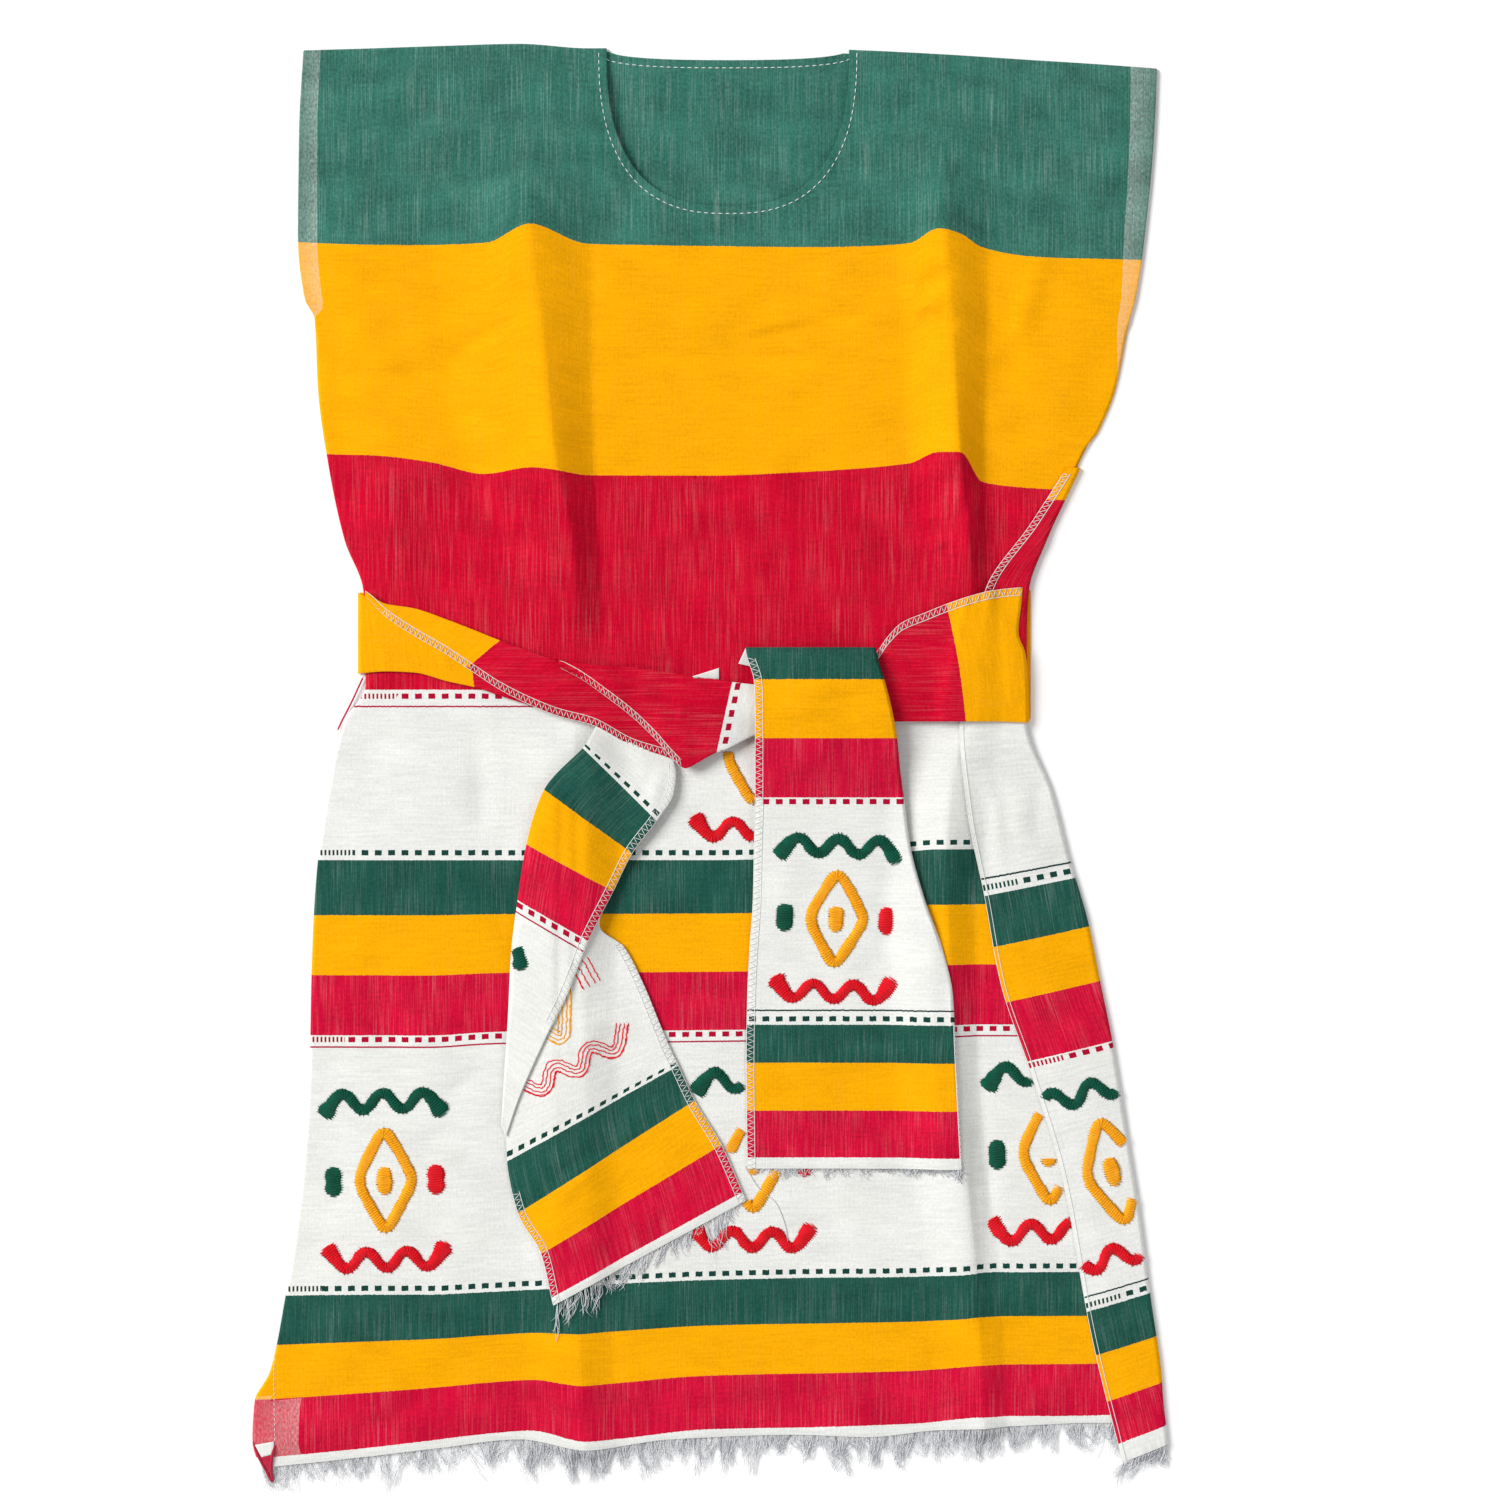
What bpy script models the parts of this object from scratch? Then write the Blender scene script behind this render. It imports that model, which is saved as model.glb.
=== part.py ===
"""A dress of striped handwoven cotton, laid flat with its sash tied.

X runs to the right, +Y to the neck and +Z up from the surface that it lies on. Sizes are in mm.
"""

from math import pi

import bmesh
import bpy
import numpy as np

MM = 0.001
WALL = 1.2
GAP = 0.3
LAYER = WALL + GAP
FLOOR_LAYER = WALL / 2
CENTRE = (1.58, -3.34)

SHOULDER = 650.0
HEM = -612.0
SLEEVE_END = 406.0
WRAP_TOP = 272.0
WAIST = (38.0, 170.0)
WAIST_RAMP = 36.0
CURL = 3.0
SEAM_INSET = 3.8

NECK_CENTRE = 17.0
NECK_HALF_WIDTH = 109.0
NECK_DEPTH_FRONT = 143.0
NECK_DEPTH_BACK = 11.0
NECK_SQUARENESS = 2.6

FRINGE_STRIP = 3.0
FRINGE_GAP = 0.5


class Table:
    """Rows of sizes under named columns, read along the first one by a curve with no overshoot."""

    def __init__(self, names, *rows):
        self.names = names.split()
        self.rows = np.array(sorted(rows), float)
        step = np.diff(self.rows, axis=0)
        rise = step / step[:, :1]
        before, after = rise[:-1], rise[1:]
        same = before * after > 0
        mean = np.where(same, 2 * before * after / np.where(same, before + after, 1), 0)
        self.slope = np.vstack([rise[:1], mean, rise[-1:]])

    def at(self, key, name):
        keys, k = self.rows[:, 0], self.names.index(name)
        key = np.clip(key, keys[0], keys[-1])
        i = np.clip(np.searchsorted(keys, key, side="right") - 1, 0, len(keys) - 2)
        width = keys[i + 1] - keys[i]
        t = (key - keys[i]) / width
        start = (1 + 2 * t) * (1 - t) ** 2 * self.rows[i, k]
        end = t**2 * (3 - 2 * t) * self.rows[i + 1, k]
        lean = t * (1 - t) * width * ((1 - t) * self.slope[i, k] - t * self.slope[i + 1, k])
        return start + end + lean


# Heights up the panels where rows of both gather: the hem's corner, the waist and the sleeve ends.
ROW_LINES = (HEM, -567, -530, -280, 0, 38, 170, 206, 306, 400, 418, 647, SHOULDER)
PANEL_ROWS = [(y - HEM) / (SHOULDER - HEM) for y in ROW_LINES]
FRONT_COUNTS = (1, 1, 6, 7, 2, 5, 2, 3, 3, 1, 5, 2)
BACK_COUNTS = (1, 1, 4, 4, 1, 3, 1, 2, 2, 1, 3, 1)

EDGES = Table(
    "y left right",
    (650, -365, 404),
    (576, -369, 401),
    (478, -370, 392),
    (424, -364, 384),
    (406, -355, 379),
    (343, -352, 366),
    (271, -342, 334),
    (207, -328, 304),
    (162, -311, 288),
    (125, -309, 286),
    (75, -309, 286),
    (45, -328, 286),
    (-18, -343, 309),
    (-80, -352, 325),
    (-135, -356, 341),
    (-189, -358, 352),
    (-243, -359, 363),
    (-342, -364, 379),
    (-405, -371, 389),
    (-477, -382, 398),
    (-540, -395, 407),
    (-567, -409, 409),
    (-603, -411, 413),
    (-630, -403, 415),
)

ENDS = Table(
    "x top hem hem_back",
    (-402, 647, -627, -625),
    (-302, 650, -616, -614),
    (-243, 652, -609, -607),
    (-170, 654, -601, -599),
    (-109, 650, -610, -608),
    (-34, 650, -601, -599),
    (80, 650, -597, -595),
    (142, 648, -599, -597),
    (203, 645, -593, -591),
    (297, 639, -588, -588),
    (345, 636, -586, -590),
    (413, 631, -586, -597),
)

LEFT_FOLD = Table(
    "y start crest end height",
    (648, -251, -163, -112, 0),
    (567, -251, -162, -110, 3),
    (486, -251, -161, -105, 14),
    (396, -247, -150, -105, 16),
    (288, -229, -139, -103, 18),
    (189, -206, -121, -98, 14),
    (117, -197, -119, -94, 5),
    (88, -192, -120, -91, 2.5),
    (50, -188, -121, -89, 3),
    (-10, -188, -121, -89, 7),
    (-71, -188, -123, -94, 9),
    (-251, -184, -125, -94, 8),
    (-458, -170, -118, -89, 7),
    (-616, -166, -112, -80, 5),
)

RIGHT_FOLD = Table(
    "y start crest end height",
    (648, 154, 212, 253, 0),
    (567, 158, 212, 253, 3),
    (486, 163, 212, 253, 12),
    (396, 172, 217, 251, 13),
    (288, 176, 223, 248, 18),
    (205, 184, 232, 248, 17),
    (165, 188, 234, 250, 7),
    (117, 194, 235, 253, 3),
    (50, 194, 230, 253, 3),
    (-10, 172, 217, 248, 7),
    (-71, 167, 212, 239, 10),
    (-251, 172, 219, 242, 10),
    (-458, 194, 239, 262, 8),
    (-616, 203, 248, 271, 6),
)

WRAP = Table(
    "y free slant",
    (272, 322, 0.0),
    (221, 289, 0.0),
    (161, 248, 0.0),
    (100, 236, 0.0),
    (44, 225, 0.05),
    (-27, 232, 0.1),
    (-98, 248, 0.2),
    (-171, 262, 0.22),
    (-252, 289, 0.24),
    (-351, 318, 0.26),
    (-486, 343, 0.3),
    (-605, 372, 0.4),
)

BELT_BACK = Table(
    "x low high",
    (-314, 89, 160),
    (289, 46, 162),
)

BELT_LEFT = Table(
    "x low high rise",
    (-316, 87, 160, 0.4),
    (-290, 89, 149, 1.0),
    (-265, 88, 145, 1.2),
    (-234, 80, 134, 1.5),
    (-207, 74, 124, 1.8),
    (-187, 67, 116, 2.0),
    (-157, 58, 105, 2.2),
    (-136, 54, 96, 2.2),
)

BELT_LAP = Table(
    "x low high rise",
    (-308, 157, 161, -0.2),
    (-290, 139, 149.5, 0.0),
    (-265, 122, 145.5, 0.2),
    (-234, 104, 135, 0.6),
    (-207, 86, 124.5, 0.8),
    (-187, 73, 116.5, 0.8),
    (-157, 58, 105.5, 0.8),
    (-134, 49, 97, 0.4),
    (-104, 41, 82, 0.0),
    (-68, 22, 58, -0.4),
    (-32, 10, 34, -0.4),
    (-22, 3, 14, -0.4),
)

BELT_KNOT = Table(
    "x low high rise",
    (-134, 93, 98, -0.6),
    (-115, 83, 96, -0.2),
    (-95, 69, 94, 0.4),
    (-69, 49, 92, 1.0),
    (-47, 28, 89, 1.8),
    (-32, 11, 87, 2.4),
    (-21, 2, 85, 2.8),
    (-10, 7, 83, 2.8),
    (4, 15, 82, 2.4),
    (15, 19, 80, 1.8),
    (40, 31, 77, 0.4),
    (58, 36, 75, -0.2),
)

BELT_RIGHT = Table(
    "x low high rise",
    (96, 52, 92, 4.0),
    (149, 44, 105, 4.4),
    (160, 44, 119, 5.0),
    (173, 44, 132, 5.0),
    (194, 44, 141, 4.4),
    (214, 44, 149, 3.6),
    (235, 44, 156, 2.8),
    (256, 44, 161, 2.0),
    (291, 43, 164, 0.4),
)

TAIL_RIGHT = Table(
    "y left right rise",
    (110, 33, 149, 10.0),
    (104, 34, 150, 15.0),
    (80, 41, 157, 17.5),
    (56, 42, 163, 17.5),
    (29, 42, 168, 15.5),
    (0, 42, 171, 10.0),
    (-28, 42, 175, 5.0),
    (-66, 41, 180, 2.6),
    (-115, 40, 193, 2.0),
    (-160, 37, 209, 1.6),
    (-201, 35, 218, 1.2),
    (-262, 34, 221, 1.0),
    (-357, 35, 226, 0.6),
)

TAIL_FACE = Table(
    "s fold_x fold_y edge_x edge_y rise",
    (0, -104, 38, -30, -2, 2.6),
    (1, -111, 22, -46, -40, 3.6),
    (2, -147, -17, -69, -74, 3.0),
    (3, -163, -66, -86, -108, 2.2),
    (4, -171, -116, -108, -152, 1.8),
    (5, -177, -165, -126, -198, 1.6),
    (6, -180, -224, -148, -244, 1.2),
    (7, -184, -285, -171, -296, 0.8),
    (8, -186, -318, -182, -328, 0.6),
)

TAIL_REVERSE = Table(
    "s fold_x fold_y edge_x edge_y rise",
    (0, -124, -12, -80, -30, 0.4),
    (1, -154, -62, -92, -92, 0.4),
    (2, -167, -116, -98, -138, 0.6),
    (3, -173, -163, -77, -158, 1.2),
    (4, -176, -206, -59, -192, 1.4),
    (5, -179, -250, -45, -226, 1.4),
    (6, -184, -314, -34, -252, 1.2),
    (7, -183, -349, -28, -264, 1.0),
    (8, -173, -397, -13, -296, 1.0),
    (9, -152, -433, 11, -336, 1.0),
    (10, -141, -479, 33, -386, 0.8),
)

COLOURS = {
    "white": (0.86, 0.87, 0.85),
    "yellow": (0.93, 0.42, 0.004),
    "red": (0.58, 0.012, 0.04),
    "green": (0.035, 0.13, 0.1),
    "fringe": (0.72, 0.72, 0.74),
}


def ease(t):
    t = np.clip(t, 0, 1)
    return t * t * (3 - 2 * t)


def blend(a, b, t):
    return a + (b - a) * t


def spread(across, counts, lines):
    """The place of each column, with so many columns between one line and the next."""
    marks = np.concatenate([[0], np.cumsum(counts)]) / sum(counts)
    place = np.interp(across, marks, np.arange(len(marks)))
    k = np.minimum(place.astype(int), len(counts) - 1)
    lines = np.stack([np.broadcast_to(line, across.shape) for line in lines])
    each = np.arange(across.size)
    return blend(lines[k, each], lines[k + 1, each], place - k)


def over_sash(y):
    """1 over the sash's back stretch and 0 well above and below it."""
    outside = np.maximum(np.maximum(WAIST[0] - y, y - WAIST[1]), 0)
    return np.clip(1 - outside / WAIST_RAMP, 0, 1)


def back_height(x, y):
    return FLOOR_LAYER + LAYER * over_sash(y) + 0 * x


def ridge(fold, x, y):
    """A fold's height: it climbs from its start to its crest and drops to its end."""
    start, crest, end = (fold.at(y, name) for name in ("start", "crest", "end"))
    climb = ease((x - start) / (crest - start))
    drop = ease((end - x) / (end - crest))
    return fold.at(y, "height") * np.where(x < crest, climb, drop)


def slack(x, y):
    """The air under the front: none at its side seams and shoulders, little at the hem."""
    left, right = EDGES.at(y, "left"), EDGES.at(y, "right")
    inside = ease(np.minimum(x - left, right - x) / 60)
    below = ease((ENDS.at(x, "top") - y) / 50)
    hem = blend(0.35, 1, ease((y + 610) / 160))
    waist = blend(1, 0.5, over_sash(y))
    swell = 2.6 + 1.3 * np.sin(x / 52 + y / 210) * np.cos(y / 95 - x / 160)
    return 0.5 + swell * inside * below * hem * waist


def front_height(x, y):
    folds = ridge(LEFT_FOLD, x, y) + ridge(RIGHT_FOLD, x, y)
    return back_height(x, y) + LAYER + slack(x, y) + folds


def highest(height, x, y, reach):
    """The highest that a surface gets within this reach of a point."""
    steps = (-reach, 0, reach)
    return np.max([height(x + dx, y + dy) for dx in steps for dy in steps], axis=0)


def laid_on(height, x, y, rise, reach=9.0):
    return highest(height, x, y, reach) + LAYER + rise


def turned_down(height, foot, depth):
    """A layer's height at this depth from an edge where it turns down to its foot."""
    bend = np.clip(1 - depth / CURL, 0, 1)
    return foot + (height - foot) * np.sqrt(1 - bend**2)


def linked(obj, group):
    bpy.data.collections[group].objects.link(obj)
    return obj


def material(colour):
    found = bpy.data.materials.get(colour)
    if found:
        return found
    made = bpy.data.materials.new(colour)
    made.use_nodes = True
    shader = made.node_tree.nodes["Principled BSDF"]
    shader.inputs["Base Color"].default_value = (*COLOURS[colour], 1)
    shader.inputs["Roughness"].default_value = 0.85
    shader.inputs["Metallic"].default_value = 0.0
    made.diffuse_color = (*COLOURS[colour], 1)
    return made


def placed(points):
    """Points in mm about the work's own origin, as metres about the middle of the whole."""
    return (np.stack(points, -1) - (*CENTRE, 0)) * MM


def cloth(name, colour, columns, rows, place):
    """A wall on each side of the surface place(across, along), where both run from 0 to 1."""
    grid = bmesh.new()
    bmesh.ops.create_grid(grid, x_segments=columns, y_segments=rows, size=0.5)
    across, along = (np.array([v.co[k] + 0.5 for v in grid.verts]) for k in (0, 1))
    for vert, point in zip(grid.verts, placed(place(across, along))):
        vert.co = point
    mesh = bpy.data.meshes.new(name)
    grid.to_mesh(mesh)
    grid.free()
    mesh.shade_smooth()
    mesh.materials.append(material(colour))
    obj = linked(bpy.data.objects.new(name, mesh), "striped_dress")
    wall = obj.modifiers.new("wall", "SOLIDIFY")
    wall.thickness = WALL * MM
    wall.offset = 0
    return obj


def cut_neck(obj, depth):
    """Cuts a rounded scoop of this depth from the shoulder line down."""
    scoop = bmesh.new()
    bmesh.ops.create_cone(scoop, cap_ends=True, segments=56, radius1=1, radius2=1, depth=0.1)
    for vert in scoop.verts:
        x, y = (np.sign(c) * abs(c) ** (2 / NECK_SQUARENESS) for c in vert.co[:2])
        point = placed((NECK_CENTRE + NECK_HALF_WIDTH * x, SHOULDER + depth * y, 0))
        vert.co[:2] = point[:2]
    mesh = bpy.data.meshes.new(obj.name + "_neck")
    scoop.to_mesh(mesh)
    scoop.free()
    cutter = linked(bpy.data.objects.new(mesh.name, mesh), "cutters")
    cutter.hide_render = True
    cutter.display_type = "WIRE"
    cut = obj.modifiers.new("neck", "BOOLEAN")
    cut.operation = "DIFFERENCE"
    cut.object = cutter


def front_place(across, along):
    along = spread(along, FRONT_COUNTS, PANEL_ROWS)
    y = blend(HEM, SHOULDER, along)
    for _ in range(2):
        right = EDGES.at(y, "right")
        under = ease((306 - y) / 20)
        left = EDGES.at(y, "left") + WALL / 2
        right = right - blend(WALL / 2, 5.5, under)
        lines = [left, left + CURL]
        for fold in (LEFT_FOLD, RIGHT_FOLD):
            lines += [fold.at(y, name) for name in ("start", "crest", "end")]
        x = spread(across, (2, 4, 5, 4, 8, 4, 4, 3, 2), [*lines, right - CURL, right])
        y = blend(ENDS.at(x, "hem"), ENDS.at(x, "top") - WALL / 2, along)
    z = front_height(x, y)
    foot = back_height(x, y) + 0.1
    sewn_left = ease((SLEEVE_END - y) / 15)
    sewn_right = sewn_left * (1 - under)
    z = blend(z, turned_down(z, foot, x - left), sewn_left)
    z = blend(z, turned_down(z, foot, right - x), sewn_right)
    z = turned_down(z, foot, ENDS.at(x, "top") - WALL / 2 - y)
    return x, y, z


def back_place(across, along):
    along = spread(along, BACK_COUNTS, PANEL_ROWS)
    y = blend(HEM, SHOULDER, along)
    for _ in range(2):
        inset = blend(0.6, SEAM_INSET, ease((SLEEVE_END + 12 - y) / 15)) + 5 * over_sash(y)
        x = blend(EDGES.at(y, "left") + inset, EDGES.at(y, "right") - inset, across)
        y = blend(ENDS.at(x, "hem_back"), ENDS.at(x, "top") - SEAM_INSET, along)
    return x, y, back_height(x, y)


def wrap_place(across, along):
    y = blend(-605.0, WRAP_TOP, along)
    right = EDGES.at(y, "right") - WALL / 2
    x = spread(across, (5, 3), [WRAP.at(y, "free"), right - CURL - 1, right])
    y = y + WRAP.at(y, "slant") * (x - right)
    z = laid_on(front_height, x, y, 0.3 + 0.8 * ease((x - WRAP.at(y, "free")) / 20))
    depth = (right - x) * CURL / (CURL + 1)
    return x, y, turned_down(z, back_height(x, y) + 0.1, depth)


def belt_back_place(across, along):
    x = blend(-314.4, 289.4, across)
    y = blend(BELT_BACK.at(x, "low"), BELT_BACK.at(x, "high"), along)
    return x, y, FLOOR_LAYER + 0 * x


def strip(table, across, along, under, ends=None):
    """A stretch of the sash that runs along X between its table's low and high edges."""
    x = blend(table.rows[0, 0], table.rows[-1, 0], across) if ends is None else ends
    y = blend(table.at(x, "low"), table.at(x, "high"), along)
    crown = 1.6 * np.sin(pi * along)
    return x, y, laid_on(under, x, y, table.at(x, "rise") + crown)


def wrap_height(x, y):
    """The top of what the sash lies on: the front, and the wrap where it laps the front."""
    lapped = ease((x - WRAP.at(y, "free") + 14) / 8)
    return front_height(x, y) + (LAYER + 1.4) * lapped


def belt_left_place(across, along):
    outer = BELT_LEFT.rows[0, 0] + WALL / 2
    x = spread(across, (3, 15), [outer, outer + CURL + 1, BELT_LEFT.rows[-1, 0]])
    x, y, z = strip(BELT_LEFT, across, along, front_height, x)
    depth = (x - outer) * CURL / (CURL + 1)
    return x, y, turned_down(z, FLOOR_LAYER, depth)


def left_height(x, y):
    low, high = BELT_LEFT.at(x, "low"), BELT_LEFT.at(x, "high")
    along = np.clip((y - low) / (high - low), 0, 1)
    crown = 1.6 * np.sin(pi * along)
    return laid_on(front_height, x, y, BELT_LEFT.at(x, "rise") + crown)


def belt_lap_place(across, along):
    return strip(BELT_LAP, across, along, left_height)


def lap_height(x, y):
    low, high = BELT_LAP.at(x, "low"), BELT_LAP.at(x, "high")
    along = np.clip((y - low) / (high - low), 0, 1)
    crown = 1.6 * np.sin(pi * along)
    return laid_on(left_height, x, y, BELT_LAP.at(x, "rise") + crown)


def belt_knot_place(across, along):
    x, y, z = strip(BELT_KNOT, across, along, lap_height)
    return x, y, z + 2.2 * np.sin(pi * along)


def belt_right_place(across, along):
    outer = BELT_RIGHT.rows[-1, 0] - WALL / 2
    x = spread(across, (12, 3), [BELT_RIGHT.rows[0, 0], outer - CURL - 1, outer])
    x, y, z = strip(BELT_RIGHT, across, along, wrap_height, x)
    depth = (outer - x) * CURL / (CURL + 1)
    return x, y, turned_down(z, FLOOR_LAYER, depth)


def tail_right_place(across, along):
    y = blend(-357.0, 110.0, along)
    left, right = TAIL_RIGHT.at(y, "left"), TAIL_RIGHT.at(y, "right")
    x = spread(across, (7, 2), [left, right - CURL, right])
    crown = 1.5 * np.sin(pi * across)
    z = laid_on(front_height, x, y, TAIL_RIGHT.at(y, "rise") + crown, 12.0)
    foot = front_height(x, y) + LAYER + 0.2
    folded = ease((y + 230) / 40)
    foot = blend(z, np.maximum(z - 3.5, foot), folded)
    return x, y, turned_down(z, foot, right - x)


def slanted(table, across, along):
    """A stretch with rows from a fold line to an edge line, each read from the table."""
    s = blend(table.rows[-1, 0], table.rows[0, 0], along)
    x = blend(table.at(s, "fold_x"), table.at(s, "edge_x"), across)
    y = blend(table.at(s, "fold_y"), table.at(s, "edge_y"), across)
    return x, y, table.at(s, "rise")


def tail_reverse_place(across, along):
    x, y, rise = slanted(TAIL_REVERSE, across, along)
    x = x + 2.0 * (1 - across)
    return x, y, laid_on(front_height, x, y, rise, 12.0)


def tail_face_place(across, along):
    x, y, rise = slanted(TAIL_FACE, across, along)
    z = laid_on(front_height, x, y, rise + LAYER + 1.0, 14.0)
    edge = 1 - np.clip(across / 0.09, 0, 1)
    drop = (LAYER + 1.2) * ease((-20 - y) / 40)
    return x, y, z - drop * edge**2


def lock_path(root, way, side, length, sway, bed):
    """Middle points of one lock of warp ends, from its root out to where it lies on its bed."""
    steps = []
    for part in (0.5, 1.0):
        x = root[0] + way[0] * length * part + side[0] * sway * part**2
        y = root[1] + way[1] * length * part + side[1] * sway * part**2
        low = float(bed(np.array([x]), np.array([y]))[0])
        steps.append((x, y, max(low, blend(root[2], low, part))))
    return steps


def fringe(name, count, edge, way, lengths, bed, seed):
    """Locks that stand apart on a narrow strip, just beyond a woven edge."""
    rng = np.random.default_rng(seed)
    way = np.array(way) / np.hypot(*way)
    side = np.array((-way[1], way[0]))
    grid = bmesh.new()
    bmesh.ops.create_grid(grid, x_segments=2 * count, y_segments=1, size=0.5)
    sheet = list(grid.faces)
    made = bmesh.ops.extrude_face_region(grid, geom=sheet, use_keep_orig=True)["geom"]
    upper = {v for v in made if isinstance(v, bmesh.types.BMVert)}
    roots = []
    for face in grid.faces:
        middle = face.calc_center_median()
        if middle.y < -0.49 and round((middle.x + 0.5) * 2 * count - 0.5) % 2 == 0:
            roots.append((middle.x, face))
    for vert in grid.verts:
        column = round((vert.co.x + 0.5) * 2 * count)
        along = (column // 2 + 0.68 * (column % 2)) / count
        x, y, z = edge(np.array([along]))
        out = FRINGE_GAP + (0 if vert.co.y > 0 else FRINGE_STRIP)
        up = WALL / 2 if vert in upper else -WALL / 2
        vert.co = placed((x[0] + way[0] * out, y[0] + way[1] * out, z[0] + up))
    for _, face in sorted(roots, key=lambda pair: pair[0]):
        root = np.array(face.calc_center_median()) / MM + (*CENTRE, 0)
        corners = [np.array(v.co) / MM + (*CENTRE, 0) - root for v in face.verts]
        length = rng.uniform(*lengths)
        path = lock_path(root, way, side, length, rng.uniform(-2.2, 2.2), bed)
        for point, narrow in zip(path, (0.62, 0.24)):
            face = bmesh.ops.extrude_discrete_faces(grid, faces=[face])["faces"][0]
            for vert, corner in zip(face.verts, corners):
                size = np.array((narrow, narrow, 0.5 + 0.5 * narrow))
                vert.co = placed(point + corner * size)
    bmesh.ops.recalc_face_normals(grid, faces=grid.faces)
    mesh = bpy.data.meshes.new(name)
    grid.to_mesh(mesh)
    grid.free()
    mesh.materials.append(material("fringe"))
    return linked(bpy.data.objects.new(name, mesh), "striped_dress")


def over_front(x, y):
    return highest(front_height, x, y, 7.0) + LAYER


def woven_edge(place, columns, start=0.0, end=1.0):
    """The lower edge of a cloth, straight between its own columns."""
    across = np.linspace(0, 1, columns + 1)
    points = place(across, 0 * across)
    return lambda u: [np.interp(blend(start, end, u), across, line) for line in points]


def clear_scene():
    for obj in list(bpy.data.objects):
        bpy.data.objects.remove(obj)
    for group in ("striped_dress", "cutters"):
        bpy.context.scene.collection.children.link(bpy.data.collections.new(group))


def main():
    clear_scene()
    cut_neck(cloth("front", "yellow", 36, sum(FRONT_COUNTS), front_place), NECK_DEPTH_FRONT)
    cut_neck(cloth("back", "green", 14, sum(BACK_COUNTS), back_place), NECK_DEPTH_BACK)
    cloth("back_wrap", "white", 8, 30, wrap_place)
    cloth("belt_back", "yellow", 8, 2, belt_back_place)
    cloth("belt_left", "yellow", 18, 5, belt_left_place)
    cloth("belt_left_lap", "red", 12, 4, belt_lap_place)
    cloth("belt_knot", "red", 14, 6, belt_knot_place)
    cloth("belt_right", "red", 15, 7, belt_right_place)
    cloth("tail_right", "white", 9, 26, tail_right_place)
    cloth("tail_left_reverse", "white", 7, 20, tail_reverse_place)
    cloth("tail_left_face", "white", 7, 18, tail_face_place)
    hem = woven_edge(front_place, 36, 0.01, 0.99)
    fringe("fringe_front", 50, hem, (0, -1), (18, 33), lambda x, y: 2.8 + 0 * x, 3)
    hem = woven_edge(back_place, 14, 0.01, 0.99)
    fringe("fringe_back", 30, hem, (0, -1), (14, 24), lambda x, y: 0.9 + 0 * x, 5)
    hem = woven_edge(wrap_place, 8, 0.02, 0.6)
    fringe("fringe_wrap", 5, hem, (-0.2, -1), (14, 26), lambda x, y: 2.8 + 0 * x, 7)
    hem = woven_edge(tail_reverse_place, 7, 0.02, 0.98)
    fringe("fringe_tail_left", 14, hem, (0.35, -1), (14, 30), over_front, 11)
    hem = woven_edge(tail_right_place, 9, 0.02, 0.98)
    fringe("fringe_tail_right", 12, hem, (0, -1), (5, 12), over_front, 13)


main()
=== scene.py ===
"""Looks of a striped cotton dress laid flat: woven cloth, sewing, raised embroidery and fringe.

X runs to the right, +Y to the neck and +Z up from the floor. Sizes are in mm about the same point
as in the solids' source, and placed() turns them into metres.
"""

from math import pi, tau

import bmesh
import bpy
import numpy as np
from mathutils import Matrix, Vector
from mathutils.bvhtree import BVHTree


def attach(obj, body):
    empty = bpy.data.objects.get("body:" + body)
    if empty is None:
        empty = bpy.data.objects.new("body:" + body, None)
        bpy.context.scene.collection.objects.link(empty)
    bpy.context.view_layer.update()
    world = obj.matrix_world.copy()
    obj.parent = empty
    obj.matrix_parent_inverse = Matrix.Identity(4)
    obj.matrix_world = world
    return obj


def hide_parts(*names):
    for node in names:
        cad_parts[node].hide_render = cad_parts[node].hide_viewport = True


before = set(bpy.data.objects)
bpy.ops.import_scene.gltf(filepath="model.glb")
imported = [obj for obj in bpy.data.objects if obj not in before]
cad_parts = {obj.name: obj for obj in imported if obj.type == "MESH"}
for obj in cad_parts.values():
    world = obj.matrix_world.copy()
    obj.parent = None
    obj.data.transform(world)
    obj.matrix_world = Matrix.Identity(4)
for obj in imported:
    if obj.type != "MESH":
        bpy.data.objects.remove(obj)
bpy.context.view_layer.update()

MM = 0.001
CLOTH = 0.9
THREAD = 0.31
NECK_HEM = 8.5
STITCH_PITCH = 1.1
PUFF = 1.6
LEAST_TOP = 1.2
SKY = 0.36
KEY_POWER = 2010.0
FILL_POWER = 40.0
CAMERA_HEIGHT = 2.6
FRAME_WIDTH = 1.3608
FRAME_MIDDLE = (0.0407, 0.0164)
WALL = 1.2
GAP = 0.3
LAYER = WALL + GAP
FLOOR_LAYER = WALL / 2
CENTRE = (1.58, -3.34)

SHOULDER = 650.0
HEM = -612.0
SLEEVE_END = 406.0
WRAP_TOP = 272.0
WRAP_HEM = -605.0
WAIST = (38.0, 170.0)
WAIST_RAMP = 36.0
CURL = 3.0
CROWN = 1.6
SEAM_INSET = 3.8

NECK_CENTRE = 17.0
NECK_HALF_WIDTH = 109.0
NECK_DEPTH_FRONT = 143.0
NECK_DEPTH_BACK = 11.0
NECK_SQUARENESS = 2.6


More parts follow.
